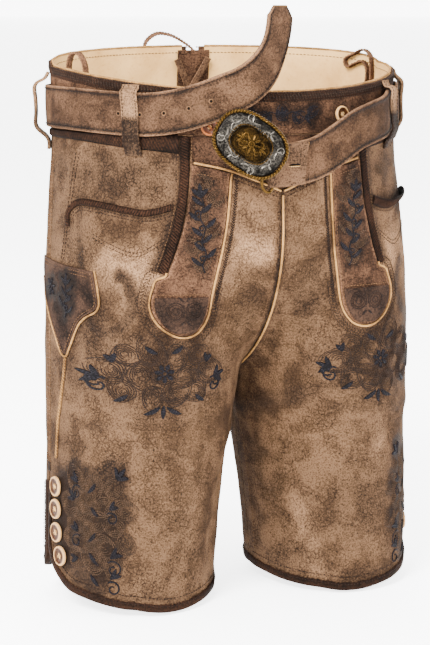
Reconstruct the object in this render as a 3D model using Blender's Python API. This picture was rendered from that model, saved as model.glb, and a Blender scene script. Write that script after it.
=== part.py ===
"""Short leather trousers with a drop flap, filled out and open at the waist and both knees.

Metres, +Z up. The front looks towards -Y and the wearer's right is at -X. The origin is the middle
of the waist, level with the waistband's top edge at the sides.
"""
from math import cos, pi, radians, sin

import bmesh
import bpy
import numpy as np

# ---------------------------------------------------------------- driving sizes
LEATHER = 0.0020         # wall of the panels and the waistband
THIN = 0.0014            # wall of the pieces sewn on top
LINING = 0.0012
GAP = 0.0003             # between pieces at a seam
REST = 0.0005            # under what lies on a panel
UNDER = 0.0011           # between the flap and the underlap behind it
FINDER = 0.004           # a second point this far out gives the direction out of a surface
PANEL_WIDTH = 0.27       # rough width of a panel round the leg
CROTCH = -0.300
FORK = -0.140            # where the centre seams start to curve under

BAND_BOTTOM = -0.060     # seam between the waistband and the panels, at the sides
BAND_DIP = 0.021         # the waist's top edge is lower at the centre front
BAND_RISE = 0.016        # and higher at the back
UNDERLAP_BOTTOM = -0.145
FLAP_CORNER_X = 0.087    # the flap's top edge runs from here to the centre front
BACK_SLIT_X = 0.007      # half width of the laced slit at the waist's top edge
SLIT_CLOSED = 0.12       # and the share of it that is left at the slit's foot

TONGUE_WALL = 0.0016
PATCH_WALL = 0.0012
KNIFE_WALL = 0.0018
POCKET_WALL = 0.0021     # wall of the pocket bindings
STRIP_RISE = 0.0022      # the plaited strips' thickness

HEM = -0.516             # lowest point of the hems
SLIT_TOP = -0.392        # the leg slit at the side seam starts here
SLIT_GAP = 0.0050        # between the slit's two edges
CORNER_HEIGHT = 0.040    # rounding of the slit's corner
CORNER_SHARE = 0.17      # the same, across the panel
BINDING_HEIGHT = 0.0065
BINDING_WALL = 0.0011
BINDING_BELOW = 0.008    # the bindings start this far below the top of the slit
INSEAM_STOP = 0.04       # and stop this share of a column short of the inseam

PIPING = 0.0011          # radius of the cream piping
PIPING_STEP = 0.0075     # between the points along it
FINE_STEP = 0.004        # between the points of a line that is measured
BELT_WIDTH = 0.040
BELT_THICK = 0.0034
BELT_TOP = -0.0175       # top edge of the belt at the sides
LOOP_WIDTH = 0.017
BUTTON_RADIUS = 0.0098

# One row per level of the hips: half width, and where the centre front, the centre back and the
# side seam lie from front (-) to back (+).
HIPS = (
    # height, half_width, front, back, side
    (0.030, 0.1765, -0.1100, 0.1070, 0.030),
    (0.000, 0.1755, -0.1130, 0.1090, 0.030),
    (-0.060, 0.1740, -0.1200, 0.1150, 0.030),
    (-0.120, 0.1775, -0.1280, 0.1250, 0.028),
    (-0.200, 0.1815, -0.1320, 0.1310, 0.025),
    (-0.300, 0.1840, -0.1300, 0.1280, 0.022),
)
# One row per level of a leg: the tube's middle, its half width, how far it reaches in front of and
# behind the side seam, and where the side seam lies.
LEGS = (
    # height, middle, half_width, forward, backward, side
    (-0.140, 0.0905, 0.0905, 0.150, 0.105, 0.026),
    (-0.300, 0.0920, 0.0920, 0.126, 0.092, 0.022),
    (-0.360, 0.0970, 0.0880, 0.113, 0.082, 0.021),
    (-0.440, 0.1035, 0.0840, 0.103, 0.072, 0.020),
    (-0.540, 0.1080, 0.0810, 0.099, 0.066, 0.020),
)
# How far the worn garment has turned: the shift of its middle towards the wearer's left.
SWAY = (
    # height, shift
    (0.000, 0.0000), (-0.060, -0.0015), (-0.120, -0.0050), (-0.200, -0.0045), (-0.270, -0.0010),
    (-0.300, 0.0000), (-0.400, 0.0020), (-0.540, 0.0030),
)
SWAY_SHARE = 0.45        # it fades out by this share of a panel
# Soft creases: which leg (-1 right, 1 left, 0 both), face (1 front, -1 back), the middle as a share
# of the panel's width and a height, the run across and down, the half width and how far it rises.
CREASES = (
    # leg, face, share, height, run_across, run_down, half_width, rise
    (-1, 1, 0.22, -0.420, 0.020, 0.150, 0.013, 0.0032),
    (-1, 1, 0.10, -0.345, 0.120, 0.070, 0.010, -0.0030),
    (1, 1, 0.12, -0.330, 0.130, -0.050, 0.010, -0.0028),
    (1, 1, 0.30, -0.470, 0.030, 0.110, 0.012, 0.0028),
    (0, 1, 0.60, -0.330, 0.160, 0.012, 0.010, -0.0018),
    (-1, 1, 0.60, -0.500, 0.004, 0.050, 0.007, 0.0022),
    (0, -1, 0.20, -0.285, 0.130, -0.060, 0.012, -0.0040),
    (0, -1, 0.30, -0.330, 0.160, -0.040, 0.012, -0.0032),
    (0, -1, 0.45, -0.200, 0.200, 0.050, 0.022, 0.0030),
    (0, -1, 0.60, -0.430, 0.030, 0.140, 0.014, 0.0030),
)
# Front hem: how far the edge lies above HEM, over the panel from the inseam to the slit.
FRONT_HEM = (
    # share, rise
    (0.00, 0.0120), (0.15, 0.0070), (0.30, 0.0030), (0.45, 0.0000), (0.60, 0.0040),
    (0.73, 0.0090), (0.85, 0.0150), (1.00, 0.0240),
)
BACK_HEM = (
    # share, rise
    (0.00, 0.0120), (0.30, 0.0160), (0.60, 0.0190), (0.85, 0.0220), (1.00, 0.0260),
)
# The flap's top edge, from the centre front to its corner.
FLAP_TOP = (
    # x, height
    (0.000, -0.1110), (0.022, -0.1020), (0.050, -0.0915), (0.087, -0.0830),
)
# The dark band over the seam between the waistband and the panels. Its place round the hips is 0
# at the centre front, 1 at the side seam and 2 at the centre back.
SEAM_BAND_TOP = -0.0590
SEAM_BAND_END = 1.985
SEAM_BAND_LOW = (
    # place, height of its lower edge
    (0.36, -0.0770), (0.60, -0.0715), (0.80, -0.0675), (1.00, -0.0665), (2.00, -0.0665),
)
# The waist's lining and the pieces behind the laced slit.
LINING_END = 1.955
LINING_BELOW = 0.0012    # it starts this far above the waistband's seam
LINING_ABOVE = 0.0015    # and stands this far above the waistband's edge
GUSSET_HALF = 0.0175
GUSSET_LOW, GUSSET_TOP = -0.0580, 0.0125
THONG_FROM, THONG_TO = (-0.0190, 0.0035), (0.0050, -0.0485)
THONG_HALF = 0.0036
THONG_WALL = 0.0018
THONG_SAG = 0.0012
LACE_RADIUS = 0.0011
LACE_RUNGS = 4
LACE_LOW = -0.048
LACE_HALF = 0.0125       # half the width of a rung
LACE_TURN = 0.0050       # radius of the bends between two rungs
# The dark plaited strip down the outer edge of each tongue.
STRIP_HALF = 0.0046
STRIP_LINE = (
    # height, x
    (-0.189, 0.1138), (-0.166, 0.1055), (-0.150, 0.1005), (-0.115, 0.0935),
    (-0.080, 0.0905), (-0.0585, 0.0900),
)
STRIP_TOP = -0.0612
STRIP_END = -0.187
ROWS_BY_STRIP = 8        # the tongue's first rows lie beside the strip
# A tongue's two edges from its top to the round end; beside the strip it ends at the strip.
TONGUE = (
    # height, inner, outer
    (-0.0860, 0.0510, 0.0852), (-0.1000, 0.0519, 0.0862), (-0.1180, 0.0530, 0.0885),
    (-0.1360, 0.0545, 0.0920), (-0.1540, 0.0568, 0.0968), (-0.1700, 0.0592, 0.1018),
    (-0.1860, 0.0625, 0.1076), (-0.1895, 0.0632, 0.1080), (-0.1930, 0.0640, 0.1155),
    (-0.2010, 0.0655, 0.1195), (-0.2090, 0.0670, 0.1219),
    (-0.2180, 0.0685, 0.1226), (-0.2280, 0.0715, 0.1196), (-0.2360, 0.0760, 0.1136),
    (-0.2420, 0.0820, 0.1052), (-0.2450, 0.0880, 0.0975),
)
FLY_TOP, FLY_END = -0.1155, -0.2975
TONGUE_TOP_DROP = 0.0034 # below the flap's top edge
TONGUE_ROW = 0.004       # and its second row at least this much lower
PATCH_ROWS = 6           # the end patch covers the tongue's last rows
PATCH_INSET = 0.0028
# Front pocket mouth: distance forward of the side seam, and height.
POCKET = (
    # forward, height
    (0.040, -0.149), (0.0385, -0.137), (0.046, -0.1285), (0.0585, -0.1245), (0.073, -0.1250),
    (0.0915, -0.1270), (0.110, -0.1295), (0.1285, -0.1315), (0.1450, -0.1285), (0.1550, -0.1250),
)
POCKET_BINDING = 0.0062
BINDING_CLEAR = 0.0004   # the bindings stand this much further off than REST
LIP_LIFT = 0.0075        # the left pocket's mouth stands this far off
LIP_BROADER = 1.6        # and its binding reaches this much further down
# Knife pocket on the right leg: its back and front edge, forward of the side seam.
KNIFE = (
    # height, back_edge, front_edge
    (-0.1860, -0.0160, 0.0790), (-0.1960, -0.0160, 0.0820), (-0.2080, -0.0135, 0.0848),
    (-0.2190, -0.0090, 0.0858), (-0.2240, -0.0050, 0.0828), (-0.2300, 0.0000, 0.0710),
    (-0.2370, 0.0055, 0.0615), (-0.2460, 0.0130, 0.0545), (-0.2570, 0.0225, 0.0482),
    (-0.2705, 0.0335, 0.0405),
)
KNIFE_SLANT = 0.006      # its top edge drops this much from back to front
KNIFE_FLAT = -0.215      # and from this height down its rows are level
KNIFE_STRIP_HALF = 0.0021
KNIFE_STRIP_RISE = 0.0015
KNIFE_STRIP = (
    # forward, height
    (0.0375, -0.2745), (0.0330, -0.2950), (0.0275, -0.3200), (0.0220, -0.3450), (0.0175, -0.3750),
)
LEG_BUTTONS = (
    # forward, height
    (0.0205, -0.4030), (0.0215, -0.4250), (0.0230, -0.4480), (0.0300, -0.4700),
)
# The flap's buttons sit on the waistband, half under the belt.
FLAP_BUTTONS = (
    # leg, name, x, height
    (-1, "right", 0.0685, -0.0525), (1, "left", 0.0640, -0.0435),
)
FLAP_BUTTON_RADIUS = 0.0080

COLOURS = {
    "suede": (0.30, 0.19, 0.12), "worn_edge": (0.12, 0.075, 0.05), "cream": (0.80, 0.66, 0.46),
    "dark": (0.035, 0.022, 0.02), "horn": (0.45, 0.22, 0.08), "silver": (0.45, 0.44, 0.42),
    "brass": (0.40, 0.27, 0.08), "patch": (0.08, 0.055, 0.05),
}


# ---------------------------------------------------------------- the garment's surface
def column(table, index, at, key=0):
    """A smooth curve through one column of a table, read at the given places."""
    rows = sorted(table, key=lambda row: row[key])
    x = np.array([row[key] for row in rows])
    y = np.array([row[index] for row in rows])
    slope = np.gradient(y, x)
    h = np.clip(np.asarray(at, float), x[0], x[-1])
    i = np.clip(np.searchsorted(x, h) - 1, 0, len(x) - 2)
    w = x[i + 1] - x[i]
    s = (h - x[i]) / w
    start = (1 + 2 * s) * (1 - s) ** 2 * y[i] + s * (1 - s) ** 2 * w * slope[i]
    end = s * s * (3 - 2 * s) * y[i + 1] + s * s * (s - 1) * w * slope[i + 1]
    return start + end


def ease(x):
    x = np.clip(x, 0.0, 1.0)
    return x * x * (3 - 2 * x)


def smooth_shell(face, t, z):
    """The leather's outer face on the wearer's right, without creases. t runs from the centre
    seam or inseam (0) to the side seam (1). face is 1 for the front and -1 for the back."""
    side_y = column(HIPS, 4, z)
    centre_y = column(HIPS, 2 if face > 0 else 3, z)
    hips_x = -column(HIPS, 1, z) * np.sin(t * pi / 2)
    hips_y = side_y + (centre_y - side_y) * np.cos(t * pi / 2)
    reach = column(LEGS, 3 if face > 0 else 4, z)
    leg_x = -column(LEGS, 1, z) + column(LEGS, 2, z) * np.cos(t * pi)
    leg_y = column(LEGS, 5, z) - face * reach * np.sin(t * pi)
    down = np.clip((FORK - z) / (FORK - CROTCH), 0.0, 1.0)
    centre = 1 - (1 - down ** 2) ** (2 / 3)
    outer = ease((FORK + 0.05 - z) / (FORK + 0.05 - CROTCH))
    near = (1 - t) ** 2
    w = centre * near + outer * (1 - near)
    return np.stack([(1 - w) * hips_x + w * leg_x, (1 - w) * hips_y + w * leg_y, z], -1)


def crease_height(leg, face, t, z):
    """How far the creases lift the leather at a place."""
    lift = np.zeros_like(z)
    for which, side, share, height, across, down, half, rise in CREASES:
        if side != face or which == -leg:
            continue
        along = np.array([across, -down])
        length = np.hypot(*along)
        along = along / length
        u = (t - share) * PANEL_WIDTH
        v = z - height
        run = u * along[0] + v * along[1]
        off = -u * along[1] + v * along[0]
        fade = ease(1.5 - np.abs(run) / (length / 2))
        lift += rise * np.exp(-(off / half) ** 2) * fade
    return lift * ease(t / 0.06) * ease((1 - t) / 0.06)


def sway(t, z):
    """The shift of the middle at a place; both legs lean the same way."""
    return column(SWAY, 1, z) * (1 - ease(t / SWAY_SHARE))


def shell(leg, face, t, z):
    """The leather's outer face with its creases, on either leg (-1 right, 1 left)."""
    t, z = np.broadcast_arrays(np.asarray(t, float), np.asarray(z, float))
    p = smooth_shell(face, t, z)
    dt = 0.01
    q = smooth_shell(face, np.minimum(t + dt, 1), z) - smooth_shell(face, np.maximum(t - dt, 0), z)
    out = np.stack([q[..., 1], -q[..., 0], np.zeros_like(z)], -1) * face
    out /= np.linalg.norm(out, axis=-1, keepdims=True)
    p = (p + out * crease_height(leg, face, t, z)[..., None]) * np.array([-leg, 1, 1])
    p[..., 0] += sway(t, z)
    return p


def normal(leg, face, t, z):
    """The direction out of the leather. Both panels of a seam give the same one there."""
    t, z = np.broadcast_arrays(np.asarray(t, float), np.asarray(z, float))
    dt, dz = 0.004, 0.001
    wide = smooth_shell(face, np.minimum(t + dt, 1), z) - smooth_shell(face, np.maximum(t - dt, 0), z)
    up = smooth_shell(face, t, z + dz) - smooth_shell(face, t, z - dz)
    n = np.cross(wide, up) * np.array([leg, -1, -1]) * face
    n /= np.linalg.norm(n, axis=-1, keepdims=True)
    leg_side = n * np.array([1.0, 0.0, 1.0])
    blend = ease((t - 0.94) / 0.06)[..., None]
    n = n * (1 - blend) + leg_side * blend
    inner = leg_side if np.all(z < CROTCH) else np.where((z < CROTCH)[..., None], leg_side, n)
    blend = ease((0.05 - t) / 0.05)[..., None]
    n = n * (1 - blend) + inner * blend
    return n / np.linalg.norm(n, axis=-1, keepdims=True)


def middle_share(x, z, face=1):
    """Where on a panel a given distance from the middle plane lies."""
    t = np.linspace(0.0, 0.97, 160)
    return np.array([np.interp(a, -smooth_shell(face, t, np.full_like(t, b))[:, 0], t)
                     for a, b in zip(np.ravel(x), np.ravel(z))]).reshape(np.shape(x))


def side_share(forward, z):
    """The face and share at a distance forward of the side seam, or behind it where negative."""
    t = np.linspace(0.0, 1.0, 200)
    faces, shares = [], []
    for a, b in zip(np.ravel(forward), np.ravel(z)):
        face = 1 if a >= 0 else -1
        line = smooth_shell(face, t, np.full_like(t, b))
        steps = np.linalg.norm(np.diff(line, axis=0), axis=1)
        left = np.concatenate([[0], np.cumsum(steps[::-1])])
        faces.append(face)
        shares.append(np.interp(abs(a), left, t[::-1]))
    return faces, np.array(shares)


def skin(leg, face, t, z, out=0.0):
    """Points of a panel's own flat facets, moved out. What lies on a panel is made from these."""
    t, z, out = np.broadcast_arrays(np.asarray(t, float), np.asarray(z, float),
                                    np.asarray(out, float))
    shares, heights, points = panel_grid(leg, face)
    found = np.zeros(t.shape + (3,))
    for k in np.ndindex(t.shape):
        j = int(np.clip(np.searchsorted(shares, t[k]) - 1, 0, len(shares) - 2))
        f = (t[k] - shares[j]) / (shares[j + 1] - shares[j])
        line = heights[:, j] * (1 - f) + heights[:, j + 1] * f
        i = int(np.clip(np.searchsorted(-line, -z[k]) - 1, 0, len(line) - 2))
        g = (line[i] - z[k]) / (line[i] - line[i + 1])
        a, b, c, d = points[i, j], points[i, j + 1], points[i + 1, j + 1], points[i + 1, j]
        found[k] = a + f * (b - a) + g * (c - b) if f >= g else a + g * (d - a) + f * (c - d)
    return found + normal(leg, face, t, z) * out[..., None]


def on_front(leg, x, z, out=0.0):
    """Points on the front panel of one leg, by distance from the middle plane."""
    return skin(leg, 1, middle_share(x, z), z, out)


def on_side(leg, forward, z, out=0.0):
    """Points near the side seam, by distance forward of it (behind it where negative)."""
    forward, z, out = np.broadcast_arrays(np.asarray(forward, float), np.asarray(z, float),
                                          np.asarray(out, float))
    faces, shares = side_share(forward, z)
    points = [skin(leg, f, t, h, o)
              for f, t, h, o in zip(faces, shares, np.ravel(z), np.ravel(out))]
    return np.array(points).reshape(forward.shape + (3,))


def around(leg, u, z, out=0.0):
    """Points round the hips: u is 0 at the centre front, 1 at the side seam, 2 at the back."""
    u, z, out = np.broadcast_arrays(np.asarray(u, float), np.asarray(z, float), np.asarray(out, float))
    t = np.where(u <= 1, u, 2 - u)
    front = shell(leg, 1, t, z) + normal(leg, 1, t, z) * out[..., None]
    back = shell(leg, -1, t, z) + normal(leg, -1, t, z) * out[..., None]
    return np.where((u <= 1)[..., None], front, back)


def round_hips(u, z, out=0.0):
    """The same with u negative on the wearer's right and positive on the left."""
    u = np.asarray(u, float)
    right, left = around(-1, np.abs(u), z, out), around(1, np.abs(u), z, out)
    return np.where((u < 0)[..., None], right, left)


def on_back(x, z, out=0.0):
    """Points of the back round the centre seam, x on either side of the middle."""
    side = np.where(np.asarray(x) < 0, -1, 1)
    return round_hips(side * (2 - middle_share(np.abs(x), z, -1)), z, out)


def waist_top(u):
    """Height of the waistband's top edge round the hips."""
    u = np.abs(np.asarray(u, float))
    front = -BAND_DIP * np.cos(np.minimum(u, 1) * pi / 2) ** 1.3
    back = BAND_RISE * np.abs(np.cos(np.clip(u, 1, 2) * pi / 2)) ** 0.7
    return np.where(u <= 1, front, back)


def flap_top(x):
    return column(FLAP_TOP, 1, x)


# ---------------------------------------------------------------- making solids
def material(name):
    if name in bpy.data.materials:
        return bpy.data.materials[name]
    made = bpy.data.materials.new(name)
    made.use_nodes = True
    shader = made.node_tree.nodes["Principled BSDF"]
    shader.inputs["Base Color"].default_value = (*COLOURS[name], 1)
    metal = name in ("silver", "brass")
    shader.inputs["Roughness"].default_value = 0.35 if metal or name == "horn" else 0.85
    shader.inputs["Metallic"].default_value = 1.0 if metal else 0.0
    return made


def add(name, verts, faces, finish, smooth=True):
    """One named object from points and faces, its faces pointing out."""
    mesh = bpy.data.meshes.new(name)
    mesh.from_pydata([tuple(map(float, v)) for v in verts], [], faces)
    shape = bmesh.new()
    shape.from_mesh(mesh)
    bmesh.ops.recalc_face_normals(shape, faces=shape.faces)
    shape.to_mesh(mesh)
    shape.free()
    mesh.materials.append(material(finish))
    if smooth:
        mesh.shade_smooth()
        mesh.set_sharp_from_angle(angle=radians(40))
    made = bpy.data.objects.new(name, mesh)
    bpy.context.scene.collection.objects.link(made)
    return made


def wall(name, outer, inner, finish):
    """A closed wall between two grids of points of the same shape, outer and inner face."""
    rows, cols = outer.shape[:2]
    verts = np.concatenate([outer.reshape(-1, 3), inner.reshape(-1, 3)])
    base = rows * cols
    faces = []

    def at(i, j):
        return i * cols + j

    for i in range(rows - 1):
        for j in range(cols - 1):
            a, b, c, d = at(i, j), at(i, j + 1), at(i + 1, j + 1), at(i + 1, j)
            faces += [(a, b, c), (a, c, d)]
            faces += [(base + a, base + c, base + b), (base + a, base + d, base + c)]
    rim = [at(0, j) for j in range(cols)]
    rim += [at(i, cols - 1) for i in range(1, rows)]
    rim += [at(rows - 1, j) for j in range(cols - 2, -1, -1)]
    rim += [at(i, 0) for i in range(rows - 2, 0, -1)]
    for a, b in zip(rim, rim[1:] + rim[:1]):
        faces += [(a, base + a, base + b), (a, base + b, b)]
    return add(name, verts, faces, finish)


def sweep(name, rings, finish, closed=False):
    """A bar through rings of points, capped at both ends unless it closes on itself."""
    count, sides = len(rings), len(rings[0])
    verts = np.concatenate([np.asarray(r) for r in rings])
    faces = []
    for i in range(count if closed else count - 1):
        k = (i + 1) % count
        for j in range(sides):
            m = (j + 1) % sides
            a, b, c, d = i * sides + j, i * sides + m, k * sides + m, k * sides + j
            faces += [(a, b, c), (a, c, d)]
    if not closed:
        faces.append(tuple(range(sides - 1, -1, -1)))
        faces.append(tuple((count - 1) * sides + j for j in range(sides)))
    return add(name, verts, faces, finish)


def unit(v):
    return v / np.maximum(np.linalg.norm(v, axis=-1, keepdims=True), 1e-12)


def tangents(path):
    return unit(np.gradient(path, axis=0))


def even(path, step):
    """The same line with points an even distance apart, on a smooth curve."""
    path = np.asarray(path, float)
    for _ in range(2):
        run = np.concatenate([[0], np.cumsum(np.linalg.norm(np.diff(path, axis=0), axis=1))])
        count = max(2, int(round(run[-1] / step)) + 1)
        slopes = np.gradient(path, run, axis=0)
        at = np.linspace(0, run[-1], count)
        i = np.clip(np.searchsorted(run, at) - 1, 0, len(run) - 2)
        w = (run[i + 1] - run[i])[:, None]
        s = (at - run[i])[:, None] / w
        path = ((1 + 2 * s) * (1 - s) ** 2 * path[i] + s * (1 - s) ** 2 * w * slopes[i]
                + s * s * (3 - 2 * s) * path[i + 1] + s * s * (s - 1) * w * slopes[i + 1])
    return path


def round_cord(name, path, out, radius, finish, sides=6):
    """A round cord along a line, with a known outward direction at each point."""
    along = tangents(path)
    side = unit(np.cross(along, out))
    up = np.cross(side, along)
    angles = 2 * pi * (np.arange(sides) + 0.5) / sides
    rings = [p + radius * (np.outer(np.cos(angles), s) + np.outer(np.sin(angles), u))
             for p, s, u in zip(path, side, up)]
    return sweep(name, rings, finish)


def flat_bar(name, middle, across, out, half, low, high, finish, closed=False):
    """A flat strip: a middle line, its width direction, and its two faces' heights."""
    half = np.broadcast_to(half, len(middle))
    rings = []
    for p, a, n, h in zip(middle, across, out, half):
        rings.append([p - a * h + n * low, p + a * h + n * low, p + a * h + n * high,
                      p - a * h + n * high])
    return sweep(name, rings, finish, closed)


# ---------------------------------------------------------------- panels
PANEL_ROWS = 23
FLAP_STEP = (0.317, 0.337)   # columns at the flap's corner, where the top edge steps up
# Columns of the front and back panels, from the centre to the side seam.
FRONT_SHARES = (0.0, 0.0765, 0.153, 0.2295, *FLAP_STEP, 0.405, 0.484, 0.563, 0.642, 0.722, 0.801,
                0.870, 0.930, 0.970, 0.990, 1.0)
BACK_SHARES = (0.0, 0.075, 0.150, 0.225, 0.300, 0.375, 0.450, 0.530, 0.615, 0.700, 0.780, 0.850,
               0.905, 0.945, 0.975, 0.990, 1.0)
GRIDS = {}


def top_edge(face, t):
    """Height of a panel's top edge: the band seam, or the flap's own edge in the middle."""
    if face < 0:
        return np.full_like(t, BAND_BOTTOM)
    x = -smooth_shell(1, t, np.full_like(t, -0.09))[:, 0]
    return np.where(t < sum(FLAP_STEP) / 2, flap_top(x), BAND_BOTTOM)


def hem_edge(face, t):
    """Height of a panel's bottom edge, rounded up at the slit."""
    rise = column(FRONT_HEM if face > 0 else BACK_HEM, 1, t)
    corner = np.clip((t - (1 - CORNER_SHARE)) / CORNER_SHARE, 0, 1)
    height = CORNER_HEIGHT if face > 0 else CORNER_HEIGHT * 0.6
    return HEM + rise + height * (1 - np.sqrt(1 - (corner * 0.999) ** 2))


def panel_heights(face, t):
    """Grid of heights: rows from the top edge to the crotch, closer there, and on to the hem."""
    upper = int(PANEL_ROWS * 0.52)
    down = 1 - (1 - np.linspace(0, 1, upper)) ** 1.5
    leg = np.linspace(0, 1, PANEL_ROWS - upper + 1)[1:]
    top = top_edge(face, t) - GAP / 2
    hem = hem_edge(face, t)
    return np.concatenate([top + (CROTCH - top) * down[:, None],
                           CROTCH + (hem - CROTCH) * leg[:, None]])


def edge_inset(z):
    """How far a panel stops short of the side seam: half a seam gap, and more down the slit."""
    return GAP / 2 + (SLIT_GAP - GAP) / 2 * ease((SLIT_TOP + 0.006 - z) / 0.012)


def panel_points(leg, face):
    """A panel's outer and inner face as grids of points, with the grid's heights."""
    t = np.array(FRONT_SHARES if face > 0 else BACK_SHARES)
    z = panel_heights(face, t)
    share = np.minimum(np.repeat(t[None], len(z), 0), 1 - edge_inset(z) / PANEL_WIDTH)
    outer = shell(leg, face, share, z)
    inner = outer - normal(leg, face, share, z) * LEATHER
    inseam = z[:, 0] < CROTCH + 0.003
    middle = sway(share, z)
    for grid in (outer, inner):
        beside = np.maximum((grid[..., 0] - middle) * leg, GAP / 2)
        grid[..., 0] = middle + leg * beside
        grid[inseam, 0, 1] -= face * GAP / 2
    return t, z, outer, inner


def panel_grid(leg, face):
    if (leg, face) not in GRIDS:
        t, z, outer, _ = panel_points(leg, face)
        GRIDS[leg, face] = (t, z, outer)
    return GRIDS[leg, face]


def build_panels():
    for leg, side in ((-1, "right"), (1, "left")):
        for face, name in ((1, "front"), (-1, "back")):
            _, _, outer, inner = panel_points(leg, face)
            wall(f"{name}_{side}", outer, inner, "suede")


# ---------------------------------------------------------------- waist
def both_sides(shares):
    """Places on both sides of the middle from shares on one side that start at the middle."""
    shares = np.asarray(shares, float)
    return np.concatenate([-shares[:0:-1], shares])


def seam_band_low(u):
    return column(SEAM_BAND_LOW, 1, u)


def to_the_back(first, last):
    """The panels' own columns from one place round the hips to another behind the side seam."""
    front = [t for t in FRONT_SHARES[:-2] if t > first]
    return [first, *front, 1.0, *(2 - np.array(BACK_SHARES[-3:0:-1])), last]


def band(name, u, low, high, out, thick, finish):
    """A wall between two heights round the hips; u is negative on the wearer's right."""
    z = low + (high - low) * np.linspace(0, 1, 3)[:, None]
    u = np.broadcast_to(u, z.shape)
    wall(name, round_hips(u, z, out), round_hips(u, z, out - thick), finish)


def build_waist():
    under = LEATHER + UNDER
    u, z = np.meshgrid(both_sides(FRONT_SHARES[:7]),
                       np.linspace(BAND_BOTTOM - 2 * GAP, UNDERLAP_BOTTOM, 6))
    wall("front_underlap", round_hips(u, z, -under), round_hips(u, z, -under - LEATHER),
         "worn_edge")

    stop = GAP / 2 / PANEL_WIDTH
    seam = BAND_BOTTOM + GAP / 2
    front = both_sides([*FRONT_SHARES[:-2], 1 - stop])
    band("waistband_front", front, np.full_like(front, seam), waist_top(front), 0.0, LEATHER,
         "worn_edge")
    strip_x = column(STRIP_LINE, 1, STRIP_TOP) + STRIP_HALF + REST
    band_start = float(middle_share(strip_x, STRIP_TOP))
    for leg, side in ((-1, "right"), (1, "left")):
        z = np.linspace(0, 1, 4)[:, None]
        slit = middle_share(BACK_SLIT_X * (z + SLIT_CLOSED * (1 - z)),
                            seam + (BAND_RISE - seam) * z, -1)
        rest = np.array([*BACK_SHARES[1:-2], 1 - stop])
        u = 2 - np.concatenate([slit, np.repeat(rest[None], 4, 0)], 1)
        heights = seam + (waist_top(u) - seam) * z
        wall(f"waistband_back_{side}", around(leg, u, heights), around(leg, u, heights, -LEATHER),
             "worn_edge")
        u = np.array(to_the_back(band_start, SEAM_BAND_END))
        z = np.stack([np.full_like(u, SEAM_BAND_TOP), seam_band_low(u)])
        u = np.repeat(u[None], 2, 0)
        wall(f"waist_seam_band_{side}", around(leg, u, z, REST + THIN), around(leg, u, z, REST),
             "dark")

    lining_out = -(LEATHER + REST)
    u = both_sides(to_the_back(0.0, LINING_END))
    band("waist_lining", u, np.full_like(u, BAND_BOTTOM + LINING_BELOW),
         waist_top(u) + LINING_ABOVE, lining_out, LINING, "cream")
    build_lacing(lining_out - LINING - REST)


def build_lacing(gusset_out):
    """The gusset behind the laced slit at the back, the thong inside and the lacing outside."""
    x, z = np.meshgrid(np.linspace(-GUSSET_HALF, GUSSET_HALF, 6),
                       np.linspace(GUSSET_LOW, GUSSET_TOP, 4))
    wall("back_gusset", on_back(x, z, gusset_out), on_back(x, z, gusset_out - THIN),
         "worn_edge")
    run = np.linspace(0, 1, 8)
    x, z = (a + (b - a) * run for a, b in zip(THONG_FROM, THONG_TO))
    path = on_back(x, z, gusset_out - THIN - 3 * REST - THONG_SAG * np.sin(pi * run))
    out = np.repeat([[0.0, 1.0, 0.0]], len(path), 0)
    flat_bar("back_thong", path, unit(np.cross(tangents(path), out)), out, THONG_HALF,
             -THONG_WALL / 2, THONG_WALL / 2, "suede")
    line = []
    for k in range(LACE_RUNGS):
        way = -1 if k % 2 else 1
        height = LACE_LOW + 2 * LACE_TURN * k
        line += [(way * f * LACE_HALF, height) for f in (-1, -0.5, 0, 0.5, 1)]
        if k < LACE_RUNGS - 1:
            line += [(way * (LACE_HALF + LACE_TURN * sin(a)), height + LACE_TURN * (1 - cos(a)))
                     for a in (pi * 0.2, pi * 0.4, pi * 0.6, pi * 0.8)]
    line = np.array(line)
    path = on_back(line[:, 0], line[:, 1], REST + LACE_RADIUS)
    out = unit(on_back(line[:, 0], line[:, 1], FINDER) - path)
    round_cord("back_lacing", path, out, LACE_RADIUS, "suede", sides=5)


# ---------------------------------------------------------------- flap and tongues
def tongue_grid(rows, inset=0.0, columns=7):
    """A grid of x and height over some rows of the tongue, drawn in by a margin."""
    z = np.array([row[0] for row in rows])
    inner = np.array([row[1] for row in rows]) + inset
    outer = np.array([row[2] for row in rows]) - inset
    beside = column(STRIP_LINE, 1, z) - STRIP_HALF - 2 * REST
    outer = np.where(z > STRIP_END, beside, outer)
    z = np.maximum(z, rows[-1][0] + inset)
    x = inner[:, None] + (outer - inner)[:, None] * np.linspace(0, 1, columns)
    z = np.repeat(z[:, None], columns, 1)
    top = flap_top(x) - TONGUE_TOP_DROP
    return x, np.minimum(z, top - TONGUE_ROW * (np.arange(len(rows))[:, None] > 0))


def offset_line(line, distance):
    """A flat line moved sideways, to the left of its direction."""
    along = tangents(np.asarray(line, float))
    return line + distance * np.stack([-along[:, 1], along[:, 0]], 1)


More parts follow.
